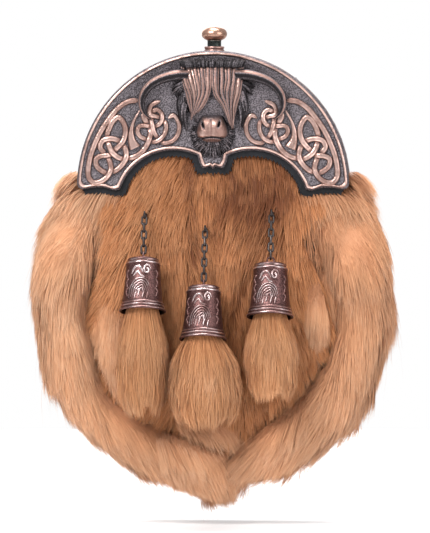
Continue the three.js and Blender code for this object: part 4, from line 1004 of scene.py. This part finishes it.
POUCH_MIDDLE = np.array([0.0, 0.0, -95.0])
ROLL_REACH = (100.0, 122.0)  # half the ring's width, and its depth below the middle
BACKING_BACK = -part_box("pinked_backing")[1][1] / MM
LEATHER_EDGE = lower_edge(-4.6)
NO_HIDE = -30.0


def ring_field(place, side):
    """Outward and downward directions round the pouch, in the front view."""
    out = place - POUCH_MIDDLE
    out[:, 1] = 0
    out = unit(out)
    down = np.stack([out[:, 2], np.zeros(len(out)), -out[:, 0]], axis=1) * side
    return out, down


def patchy(place, scale, seed):
    """Slow random change over the surface, from a few waves, between about -1 and 1."""
    waves = np.random.default_rng(seed)
    total = np.zeros(len(place))
    for _ in range(6):
        k = waves.normal(size=3) / scale
        total += np.sin(place @ k + waves.uniform(0, 6.28))
    return total / 2.6


def behind_leather(paths):
    """Keeps hair behind the pinked leather wherever the two overlap in the front view."""
    x, y, z = np.abs(paths[..., 0]), paths[..., 1], paths[..., 2]
    edge = ARCH_TOP - np.interp(x, LEATHER_EDGE[:, 0], LEATHER_EDGE[:, 1])
    covered = (z > edge) & (np.hypot(x, np.maximum(z - ARCH_MID, 0)) < CANTLE_R + 1.5)
    paths[..., 1] = np.where(covered, np.maximum(y, -(BACKING_BACK - 0.4)), y)
    return paths


def over_hides(x, z):
    """The y of the foremost hide at places in the front view, and NO_HIDE where there is none."""
    points = np.concatenate([p for p, _ in HIDES])
    starts = np.cumsum([0] + [len(p) for p, _ in HIDES[:-1]])
    tris = np.concatenate([t + s for (_, t), s in zip(HIDES, starts)])
    tree = BVHTree.FromPolygons(points.tolist(), tris.tolist())
    found = [tree.ray_cast(Vector((a, -300, c)), Vector((0, 1, 0)))[0] for a, c in zip(x, z)]
    return np.array([NO_HIDE if place is None else place[1] for place in found])


def make_lobe(name, centre, halves, lean, count, high=5.0, flow=None):
    """A soft tuft of hair that swells out from the hides, most in its middle."""
    down, across = rng.random(count) ** 0.85, rng.uniform(-1, 1, count)
    narrow = np.interp(down, [0, 0.25, 0.6, 1], [0.45, 0.95, 1.0, 0.6])
    x = centre[0] + halves[0] * across * narrow + lean * halves[1] * (2 * down - 1)
    z = centre[1] + halves[1] * (1 - 2 * down)
    swell = np.sin(np.pi * np.clip(down, 0, 1)) ** 1.2 * np.sqrt(np.clip(1 - across ** 2, 0, 1))
    roots = np.stack([x, over_hides(x, z) - 0.5 - high * swell, z], axis=1)
    normals = unit(np.stack([0.75 * across, np.full(count, -1.0), 0.25 - 0.6 * down], axis=1))
    turn = ((lean if flow is None else flow) + 0.2 * across + 0.16 * patchy(roots, 12.0, 21)
            + rng.normal(0, 0.08, count))
    along = np.stack([np.sin(turn), np.zeros(count), -np.cos(turn)], axis=1)
    flat = unit(along - normals * (along * normals).sum(1)[:, None])
    length = rng.normal(17, 2.5, count) * np.interp(down, [0, 0.3, 1], [0.75, 1.0, 0.95])
    paths = grown(roots, normals, flat + normals * 0.16, length, 3, 0.08, 0.1)
    paths, near = clumped(paths, 0.5, 30)
    tone_and_shade = (0.5 + 0.1 * patchy(roots, 13.0, 17) + 0.05 * rng.normal(size=count)[near]
            + 0.05 * rng.normal(size=count))
    # Painted shade: each tuft is darker at its top, where it comes out from under the hair above.
    tone_and_shade -= 0.25 * np.clip(1 - down / 0.3, 0, 1)
    hair_mesh(name, paths, normals, rng.uniform(0.18, 0.32, count), np.clip(tone_and_shade, 0, 1), ROLL_FUR)


def shouldered(points):
    """Lays a roll's upper end back against the leather, so that it comes out from behind the cantle."""
    back = np.clip((points[:, 2] + 88) / 40, 0, 1)
    back = back * back * (3 - 2 * back)
    depth = -points[:, 1]
    points[:, 1] = -(depth - np.clip(depth - 20.5, 0, None) * back * 0.92)
    return points


def make_roll(name, node_name, side, count):
    skin = Skin(name + "_hide", node_name, ROLL_FUR, "fur_roll", sink=3.0, low_sink=3.2, tone_and_shade=0.4,
                shape=shouldered)

    def weight(p, n):
        out, _ = ring_field(p, side)
        w = np.ones(len(p))
        w[((n * out).sum(1) < -0.3) & (p[:, 1] > -22)] = 0
        w[n[:, 1] > 0.5] *= 0.4
        return w

    roots, normals = skin.scatter(count, weight)
    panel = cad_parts["front_panel"].data
    panel.calc_loop_triangles()
    tris = np.array([t.vertices for t in panel.loop_triangles]).reshape(-1)
    corners = cad_arrays("front_panel")[tris]
    facing = np.repeat([t.normal for t in panel.loop_triangles], 3, axis=0)
    gap_roots, gap_normals = scattered(
        corners, np.arange(len(corners)).reshape(-1, 3), facing, count // 8,
        lambda p, n: np.where((n[:, 1] < -0.2) & (p[:, 0] * side > 24) & (p[:, 2] < -44), 1.0, 0.0))
    # The shoulder: hair from behind the cantle's foot, over the roll's upper end
    front, flank = count // 14, count // 9
    shoulder = np.concatenate([
        np.stack([side * rng.uniform(46, 78, front), -rng.uniform(20, 23.5, front),
                  rng.uniform(-66, -42, front)], axis=1),
        np.stack([side * rng.uniform(71, 79.5, flank), -rng.uniform(5, 23, flank),
                  rng.uniform(-62, -33, flank)], axis=1)])
    shoulder_normals = np.concatenate([np.tile(unit(np.array([side * 0.25, -1.0, 0.2])), (front, 1)),
                                       np.tile(unit(np.array([side * 0.8, -0.45, 0.4])), (flank, 1))])
    roots = np.concatenate([roots, gap_roots, shoulder])
    normals = np.concatenate([normals, gap_normals, shoulder_normals])
    total = len(roots)
    order = np.arange(total)
    extra = (order >= count) & (order < count + len(gap_roots))
    top = order >= count + len(gap_roots)
    out, down = ring_field(roots, side)
    reach = np.hypot(roots[:, 0] / ROLL_REACH[0], (roots[:, 2] - POUCH_MIDDLE[2]) / ROLL_REACH[1])
    outer = np.clip((reach - 0.62) / 0.36, 0, 1)
    height = np.clip((roots[:, 2] - POUCH_MIDDLE[2]) / 60, -1, 1)
    wrap = np.where(side > 0, 0.85 - 0.5 * outer, 0.6 - 0.2 * outer)
    wrap = np.where(extra, 0.1, wrap)
    flare = np.interp(height, [-1, -0.2, 0.4, 1], [0.1, 0.2, 0.5, 0.55] if side < 0
                      else [0.16, 0.32, 0.4, 0.3])
    flare = flare * (0.55 + 0.45 * outer) * np.where(extra, 0.2, 1)
    flare -= 0.35 * np.clip(1 - outer / 0.3, 0, 1) * (height < 0.2)
    gravity = np.array([0, 0, -1.0])
    along = down * wrap[:, None] + gravity * (1 - wrap)[:, None] + out * flare[:, None]
    turn = np.radians(11 * patchy(roots, 22.0, 7) + rng.normal(0, 4, total))
    along = np.stack([along[:, 0] * np.cos(turn) - along[:, 2] * np.sin(turn), along[:, 1],
                      along[:, 0] * np.sin(turn) + along[:, 2] * np.cos(turn)], axis=1)
    upper = np.clip((normals[:, 2] - 0.15) / 0.5, 0, 1) * ~extra
    flat = unit(along - normals * (along * normals).sum(1)[:, None] * 0.9)
    flat[top] = unit(np.stack([side * np.interp(np.abs(roots[top, 0]), [48, 78], [0.25, 0.85]),
                               np.full(top.sum(), -0.28),
                               np.interp(np.abs(roots[top, 0]), [48, 78], [-1.0, -0.55])], axis=1)
                     + rng.normal(0, 0.05, (top.sum(), 3)))
    lift = (0.24 + 0.1 * rng.random(total)) * (1 - 0.85 * upper)
    lift[top] = 0.05
    length = rng.normal(20, 2.6, total) * np.interp(roots[:, 2], [-218, -206, -192, -60, -40],
                                                    [0.42, 0.72, 1.0, 1.0, 0.8])
    if side > 0:
        length *= np.interp(roots[:, 2], [-200, -185, -140], [0.95, 1.15, 1.04])
    length[extra] *= 0.9
    strays = (rng.random(total) < np.where((side > 0) & (roots[:, 2] < -150), 0.02, 0.004)) & ~top
    length[strays] *= rng.uniform(1.3, 1.8, strays.sum())
    sag = 0.07 + 0.28 * upper
    sag[top] = 0.3
    paths = grown(roots, normals, flat + normals * lift[:, None], length, 3, sag, np.where(top, 0.02, 0.12))
    loose = paths.copy()
    paths, near = clumped(paths, 0.36, 30)
    paths[strays] = loose[strays]
    paths = behind_leather(paths)
    tone_and_shade = (0.5 + 0.1 * patchy(roots, 19.0, 11) + 0.045 * rng.normal(size=total)[near]
            + 0.055 * rng.normal(size=total))
    # Painted shade: darker along the roll's inner edge, where it meets the middle fur, above its lower
    # part.
    tone_and_shade -= 0.3 * np.clip(1 - outer / 0.3, 0, 1) * (roots[:, 2] > -150)
    # Painted light from the left: the right roll is darker and the left one lighter, each less so low down;
    # the shoulder hair is a little lighter.
    tone_and_shade += np.where(side > 0, -0.12 + 0.08 * (roots[:, 2] < -140),
                     0.07 - 0.08 * (roots[:, 2] < -170)) + 0.06 * top
    width = rng.uniform(0.19, 0.34, total)
    width[strays] *= 0.6
    upper_half = roots[:, 2] > np.median(roots[:, 2])
    for label, keep in (("upper", upper_half), ("lower", ~upper_half)):
        hair = hair_mesh(f"{name}_{label}", paths[keep], normals[keep], width[keep],
                         np.clip(tone_and_shade[keep], 0, 1), ROLL_FUR)
        if label == "upper":
            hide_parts(node_name)


def make_middle(count):
    skin = Skin("fur_middle_hide", "fur_front", MIDDLE_FUR, "fur_middle", voxel=2.2, sink=2.0, tone_and_shade=0.3)
    roots, normals = skin.scatter(
        count, lambda p, n: np.where((n[:, 1] < -0.2) & (p[:, 2] < ARCH_TOP - 46), 1.0, 0.0))
    x, z = roots[:, 0], roots[:, 2]
    turn = np.interp(x, [-60, -14, -10, 15, 60], [-0.5, -0.28, 0.02, 0.06, 0.32])
    turn = turn + 0.24 * patchy(roots, 14.0, 5) + rng.normal(0, 0.09, count)
    along = np.stack([np.sin(turn), np.zeros(count), -np.cos(turn)], axis=1)
    flat = along - normals * (along * normals).sum(1)[:, None]
    lift = 0.26 + 0.12 * rng.random(count)
    length = rng.normal(15, 2.5, count) * np.interp(z, [-60, -30], [1.0, 0.8])
    paths = grown(roots, normals, unit(flat) + normals * lift[:, None], length, 3, 0.06, 0.14)
    paths, near = clumped(paths, 0.55, 24)
    paths = behind_leather(paths)
    tone_and_shade = 0.5 + 0.15 * patchy(roots * (1, 1, 0.45), 9.0, 3) + 0.05 * rng.normal(size=count)[near]
    tone_and_shade += 0.06 * rng.normal(size=count)
    tone_and_shade -= 0.46 * np.exp(-((x - 26) / 28) ** 2 - ((z + 45) / 40) ** 2)
    tone_and_shade -= 0.3 * np.exp(-((x + 11) / 2.6) ** 2) * (z > -75)
    tone_and_shade += 0.22 * np.exp(-((x + 38) / 20) ** 2 - ((z + 36) / 22) ** 2)
    hair = hair_mesh("fur_middle", paths, normals, rng.uniform(0.2, 0.34, count), np.clip(tone_and_shade, 0, 1),
                     MIDDLE_FUR)
    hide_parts("fur_front")


# Tassels

CUP_TILT = math.radians(14)
CUP_H, CUP_FOOT_R, RIB_STEPS = 29.5, 12.6, 22
UP = np.array([0, math.sin(CUP_TILT), math.cos(CUP_TILT)])
FORWARD = np.array([0, -math.cos(CUP_TILT), math.sin(CUP_TILT)])
CUP_PROFILE = [
    (0.985, -0.004), (1.015, 0.004), (1.025, 0.02), (1.01, 0.035), (0.97, 0.045), (0.94, 0.06),
    (0.935, 0.072), (0.965, 0.08), (0.97, 0.095), (0.95, 0.105), (0.91, 0.112), (0.905, 0.125),
    (0.925, 0.135), (0.92, 0.15), (0.89, 0.16), (0.87, 0.2), (0.85, 0.28), (0.82, 0.4), (0.79, 0.52),
    (0.765, 0.65), (0.745, 0.78), (0.735, 0.86), (0.75, 0.872), (0.76, 0.885), (0.755, 0.905),
    (0.72, 0.918), (0.67, 0.925), (0.665, 0.94), (0.69, 0.955), (0.685, 0.975), (0.64, 0.99),
    (0.55, 0.995), (0.2, 1.0), (0.004, 1.0),
]
CUP_BRIGHT = {0.02: 0.2, 0.035: 0.3, 0.08: 0.2, 0.095: 0.2, 0.135: 0.3, 0.15: 0.3, 0.885: 0.1,
              0.905: 0.05, 0.94: 0.25, 0.955: 0.15}


def cup_foot(name):
    """The middle of a cup's foot, from its solid."""
    points = cad_arrays(f"tassel_cup_{name}")
    height = points @ UP
    foot = points[height < height.min() + 0.05]
    return foot.mean(axis=0)


def on_cup(foot, local):
    """From a cup's own x, forward and up to the part's frame."""
    local = np.asarray(local, float)
    return foot + local[..., :1] * np.array([1.0, 0, 0]) + local[..., 1:2] * FORWARD + local[..., 2:] * UP


def cup_radius(share):
    profile = [(r, h) for r, h in CUP_PROFILE if 0.15 < h < 0.87]
    return np.interp(share, [h for _, h in profile], [r for r, _ in profile]) * CUP_FOOT_R


def cup_rib(parts, foot, path, wide, high, dark=0.0):
    """Raised scroll on a cup: a path of angle round it (0 is the front) and height share."""
    path = smooth_curve(path, RIB_STEPS)
    radius = cup_radius(path[:, 1])
    taper = np.clip(np.minimum(np.arange(RIB_STEPS), np.arange(RIB_STEPS)[::-1]) / 3.2, 0.25, 1)
    centre = np.stack([radius * np.sin(path[:, 0]), radius * np.cos(path[:, 0]), path[:, 1] * CUP_H],
                      axis=1)
    normal = np.stack([np.sin(path[:, 0]), np.cos(path[:, 0]), np.zeros(RIB_STEPS)], axis=1)
    along = unit(np.gradient(centre, axis=0))
    across = unit(np.cross(along, normal))
    angle = np.linspace(0, math.pi, 7)
    angle = np.append(angle, [math.pi * 1.25, math.pi * 1.75])
    rings = (centre[:, None]
             + across[:, None] * (np.cos(angle)[None, :, None] * (wide * taper)[:, None, None] / 2)
             + normal[:, None] * (np.sin(angle)[None, :, None] * (high * taper)[:, None, None]))
    points, faces = lofted(rings)
    parts.add(on_cup(foot, points), faces,
              np.clip(dark + 0.5 * np.tile(np.abs(np.cos(angle)) ** 3, RIB_STEPS), 0, 1))


def make_cup(name):
    foot = cup_foot(name)
    parts = Parts()
    inner = [(0.004, 0.66), (0.6, 0.655), (0.68, 0.62), (0.73, 0.4), (0.78, 0.2), (0.84, 0.1),
             (0.88, 0.03), (0.93, 0.0)]
    profile = inner + CUP_PROFILE
    steps = 60
    angle = circle(steps)
    rings = [[(r * CUP_FOOT_R * math.cos(a), r * CUP_FOOT_R * math.sin(a), h * CUP_H) for a in angle]
             for r, h in profile]
    points, faces = lofted(rings)
    shade = [1.0] * len(inner) + [CUP_BRIGHT.get(h, 0.78) for _, h in CUP_PROFILE]
    parts.add(on_cup(foot, points), faces, np.repeat(shade, steps))
    # A mane-like arch of ribs, with a curl above it and small leaves beside
    for k in range(5):
        spread = 0.64 - 0.125 * k
        top = 0.57 - 0.045 * k
        cup_rib(parts, foot,
                [(-spread - 0.05, 0.2 + 0.02 * k), (-spread, 0.36), (-spread * 0.55, top - 0.03),
                 (0.06, top), (spread * 0.5, top - 0.06), (spread * 0.72, 0.36 - 0.02 * k)],
                0.95, 0.7, dark=0.12)
    spiral = [(0.3 + r * math.cos(t), 0.74 + 0.42 * r * math.sin(t))
              for t, r in zip(np.linspace(0, 9.5, 13), np.linspace(0.24, 0.03, 13))]
    cup_rib(parts, foot, [(-0.62, 0.66), (-0.4, 0.78), (-0.1, 0.79), (0.08, 0.68)], 1.5, 0.7)
    cup_rib(parts, foot, spiral, 1.2, 0.65)
    cup_rib(parts, foot, [(-0.5, 0.62), (-0.22, 0.7), (-0.02, 0.62), (0.18, 0.6)], 1.2, 0.6)
    for side in (-1, 1):
        for k in range(3):
            start = side * (0.78 + 0.05 * k)
            cup_rib(parts, foot, [(start, 0.24 + 0.17 * k), (start + side * 0.16, 0.34 + 0.17 * k),
                                  (start - side * 0.02, 0.41 + 0.17 * k)], 1.2, 0.5, dark=0.4)
    for k, (at, h) in enumerate(((-0.12, 0.3), (0.1, 0.28), (0.3, 0.26), (-0.3, 0.26))):
        cup_rib(parts, foot, [(at - 0.05, h - 0.09), (at, h), (at + 0.06, h + 0.07)], 0.9, 0.7, dark=0.2)
    add_ring(parts, on_cup(foot, [[0, 0, CUP_H + 1.9]])[0], UP, bail_side(name), 1.9, 1.9, 0.46, 0.45)
    ob = parts.build(f"tassel_bell_{name}", CUP_METAL)
    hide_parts(f"tassel_cup_{name}")


def bail_side(name):
    """The bail lies across the view where the lowest link is edge-on, and else along it."""
    low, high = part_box(f"chain_{name}_{LINKS[name]}")
    return np.array([1.0, 0, 0]) if high[0] - low[0] < 0.002 else FORWARD


LINKS = {"left": 5, "middle": 7, "right": 6}
LINK_HALF_LONG, LINK_HALF_WIDE, LINK_WIRE_R = 3.1, 1.85, 0.6
EYE_R, EYE_WIRE_R = 1.9, 0.45


def add_ring(parts, centre, along, across, half_long, half_wide, wire, dark):
    """A ring or oval link of round wire, through centre, along and across giving its plane."""
    straight = half_long - half_wide
    steps, sides = 22, 8
    turn = circle(steps)
    normal = unit(np.cross(across, along))
    rings = []
    for t in turn:
        out = across * math.cos(t) + along * math.sin(t)
        middle = centre + out * half_wide + along * straight * np.sign(math.sin(t) + 1e-9)
        rings.append([middle + wire * (math.cos(s) * out + math.sin(s) * normal)
                      for s in circle(sides)])
    parts.add(*lofted(rings, looped=True), dark + 0.3 * rng.random())


def make_chain(name):
    """Links read from their solids: each one's middle, and the way its long axis leans."""
    parts = Parts()
    names = [f"chain_{name}_{i}" for i in range(1, LINKS[name] + 1)]
    for link in names:
        points = cad_arrays(link)
        centre = points.mean(axis=0)
        spread = np.linalg.eigh(np.cov((points - centre).T))[1]
        add_ring(parts, centre, spread[:, 2], spread[:, 1], LINK_HALF_LONG - LINK_WIRE_R,
                 LINK_HALF_WIDE - LINK_WIRE_R, LINK_WIRE_R, 0.3)
    eye = cad_arrays(f"chain_eye_{name}")
    front = eye[eye[:, 1] < eye[:, 1].min() + 4.7]
    centre = (front.min(axis=0) + front.max(axis=0)) / 2
    add_ring(parts, centre, np.array([0, 0, 1.0]), np.array([0, 1.0, 0]), EYE_R, EYE_R, EYE_WIRE_R, 0.4)
    back = eye[:, 1].max()
    tube = [[(centre[0] + 0.85 * math.cos(a), y, centre[2] + 0.85 * math.sin(a))
             for a in circle(16)]
            for y in (centre[1] + 1.7, back)]
    parts.add(*lofted(tube), 0.6)
    ob = parts.build(f"chain_{name}", CHAIN_STEEL)
    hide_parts(*names, f"chain_eye_{name}")


PLUME_HALF_DEEP = 13.0
PLUME_SHAPE = [(0, 0.62, 0.8), (0.1, 0.8, 0.86), (0.3, 0.95, 0.97), (0.55, 1, 1), (0.8, 0.9, 0.9),
               (1.0, 0.6, 0.6)]


def make_plume(name, count):
    """Straight hair that leaves the cup's mouth, swells and draws in again, with ragged tips."""
    foot = cup_foot(name)
    low, high = (np.array(corner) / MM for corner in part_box(f"tassel_plume_{name}"))
    bottom = low[2]
    middle_x = (low[0] + high[0]) / 2
    half = (high[0] - low[0]) / 2
    middle_y = low[1] + PLUME_HALF_DEEP
    drop = foot[2] - bottom
    steps = 3
    angle = rng.uniform(0, 2 * math.pi, count)
    rooted = rng.random(count) < 0.3
    begin = np.where(rooted, 0, rng.random(count) ** 0.9 * 0.78)
    reach = np.where(rooted, np.sqrt(rng.uniform(0.3, 0.85, count)), rng.uniform(0.84, 0.93, count))
    ragged = (0.97 + 0.05 * np.sin(3 * angle + foot[0]) + 0.05 * np.sin(7 * angle + 2 * foot[0])
              + rng.normal(0, 0.025, count))
    long = np.where(rooted, rng.uniform(0.3, 0.6, count), rng.uniform(0.2, 0.42, count))
    ends = np.minimum(begin + long, ragged)
    even = np.linspace(0, 1, steps + 1)[None]
    share = begin[:, None] + even * (ends - begin)[:, None]
    table = np.array(PLUME_SHAPE)
    wide = np.interp(share, table[:, 0], table[:, 1]) * half
    deep = np.interp(share, table[:, 0], table[:, 2]) * PLUME_HALF_DEEP
    start = on_cup(foot,
                   np.stack([9.0 * reach * np.cos(angle), 9.0 * reach * np.sin(angle), np.full(count, 3.0)],
                            axis=1))
    reach = reach[:, None] + even * (1.04 - reach)[:, None] ** 0.8 * rng.uniform(0.3, 1, (count, 1))
    angle = angle[:, None] + even * rng.normal(0, 0.12, (count, 1))
    x = middle_x + (foot[0] - middle_x) * (1 - share) + reach * wide * np.cos(angle)
    y = middle_y + (foot[1] - middle_y) * (1 - share) ** 2 - reach * deep * np.sin(angle)
    z = foot[2] - share * drop
    paths = np.stack([x, y, z], axis=2)
    blend = np.clip(share / 0.16, 0, 1)[..., None]
    paths = start[:, None] * (1 - blend) + paths * blend
    wobble = rng.normal(0, 0.5, (count, 1, 3)) * share[..., None] ** 1.5 * (1, 1, 0)
    drift = patchy(paths[:, 0] * 2, 9.0, 31)[:, None]
    sway = np.sin(share * 5.0 + 1.5 * drift * 2)[..., None] * share[..., None]
    paths = paths + wobble * 1.8 + sway * (0.9, 0.0, 0.0)
    centre = np.array([middle_x, middle_y, 0])
    normals = unit((paths[:, steps // 2] - centre) * (1, 1, 0))
    paths, near = clumped(paths + rng.normal(0, 0.1, (count, 1, 3)), 0.4, 30, 1.6)
    tone_and_shade = 0.52 + 0.06 * rng.normal(size=count)[near] + 0.07 * rng.normal(size=count)
    tone_and_shade += 0.12 * patchy(paths[:, 0] * 2, 12.0, 9) - 0.1 * (begin < 0.1)
    hair = hair_mesh(f"plume_{name}", paths, normals, rng.uniform(0.18, 0.33, count), np.clip(tone_and_shade, 0, 1),
                     PLUME_FUR)
    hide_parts(f"tassel_plume_{name}")
    rings = []
    for t, w, d in PLUME_SHAPE[:-1] + [(0.9, 0.66, 0.66)]:
        at = np.array([middle_x + (foot[0] - middle_x) * (1 - t),
                       middle_y + (foot[1] - middle_y) * (1 - t) ** 2,
                       foot[2] - t * drop])
        rings.append([at + (0.8 * w * half * math.cos(a), 0.8 * d * PLUME_HALF_DEEP * math.sin(a), 0)
                      for a in circle(32)])
    top = on_cup(foot, np.array([[8.2 * math.cos(a), -8.2 * math.sin(a), 9.0]
                                 for a in circle(32)]))
    points, faces = lofted([top] + rings)
    core = mesh_object(f"plume_core_{name}", points, faces, PLUME_FUR)
    attribute(core, "along", np.full(len(points), 0.2))
    attribute(core, "tone_and_shade", np.full(len(points), 0.38))


# Studio

def area_light(name, place, target, size, power):
    light = bpy.data.lights.new(name, "AREA")
    light.shape, light.size, light.size_y = "RECTANGLE", size[0], size[1]
    light.energy = power
    ob = bpy.data.objects.new(name, light)
    bpy.context.scene.collection.objects.link(ob)
    ob.location = place
    ob.rotation_mode = "QUATERNION"
    ob.rotation_quaternion = (Vector(target) - Vector(place)).to_track_quat("-Z", "Y")


FLOOR_ROW = 523  # pixel row of the floor's shadow
FLOOR_R = 700


def make_studio():
    floor_z = (PHOTO_ORIGIN - FLOOR_ROW) * MM_PER_PIXEL
    mat, _, shader = node_material("studio_floor")
    shader.inputs["Base Color"].default_value = (0.95, 0.95, 0.95, 1)
    shader.inputs["Roughness"].default_value = 0.7
    edge = [(FLOOR_R * math.cos(a), FLOOR_R * math.sin(a), floor_z)
            for a in circle(96)]
    floor = mesh_object("studio_floor", edge, [list(range(len(edge)))], mat, body=None)
    world = bpy.data.worlds.new("studio")
    bpy.context.scene.world = world
    world.use_nodes = True
    tree = world.node_tree
    tree.nodes.clear()
    seen = tree.nodes.new("ShaderNodeBackground")
    seen.inputs[0].default_value = (1, 1, 1, 1)
    lit = tree.nodes.new("ShaderNodeBackground")
    lit.inputs[0].default_value = (0.93, 0.95, 1.0, 1)
    lit.inputs[1].default_value = 0.42
    choose = tree.nodes.new("ShaderNodeMixShader")
    path = tree.nodes.new("ShaderNodeLightPath")
    output = tree.nodes.new("ShaderNodeOutputWorld")
    tree.links.new(path.outputs["Is Camera Ray"], choose.inputs[0])
    tree.links.new(lit.outputs[0], choose.inputs[1])
    tree.links.new(seen.outputs[0], choose.inputs[2])
    tree.links.new(choose.outputs[0], output.inputs[0])
    middle = (0, -0.03, -0.1)
    area_light("key", (-0.55, -0.95, 0.75), middle, (0.6, 0.6), 17)
    area_light("fill", (0.95, -0.75, 0.2), middle, (0.7, 0.9), 7)
    area_light("top", (0.02, 0.05, 1.0), middle, (0.5, 0.35), 13)
    area_light("back", (-0.2, 0.9, 0.3), middle, (0.8, 0.8), 5)
    bpy.context.scene.view_settings.view_transform = "Standard"


ROLL_HAIRS, MIDDLE_HAIRS, PLUME_HAIRS = 32000, 26000, 8600

make_camera()
make_studio()
make_cantle()
make_frame_band()
make_knob()
make_leather()
make_roll("fur_left", "fur_side_left", -1, ROLL_HAIRS)
make_roll("fur_right", "fur_side_right", 1, ROLL_HAIRS)
make_middle(MIDDLE_HAIRS)
make_lobe("fur_lobe_left", (-53, -128), (11, 27), 0.12, 5000)
make_lobe("fur_lobe_right", (59, -108), (8, 21), -0.02, 3300)
make_lobe("fur_end_left", (-9, -180), (22, 15), 0.0, 6000, 6.0, 0.6)
make_lobe("fur_end_right", (36, -169), (13, 18), -0.7, 5000, 5.0, -0.62)
for tassel in LINKS:
    make_cup(tassel)
    make_chain(tassel)
    make_plume(tassel, PLUME_HAIRS)
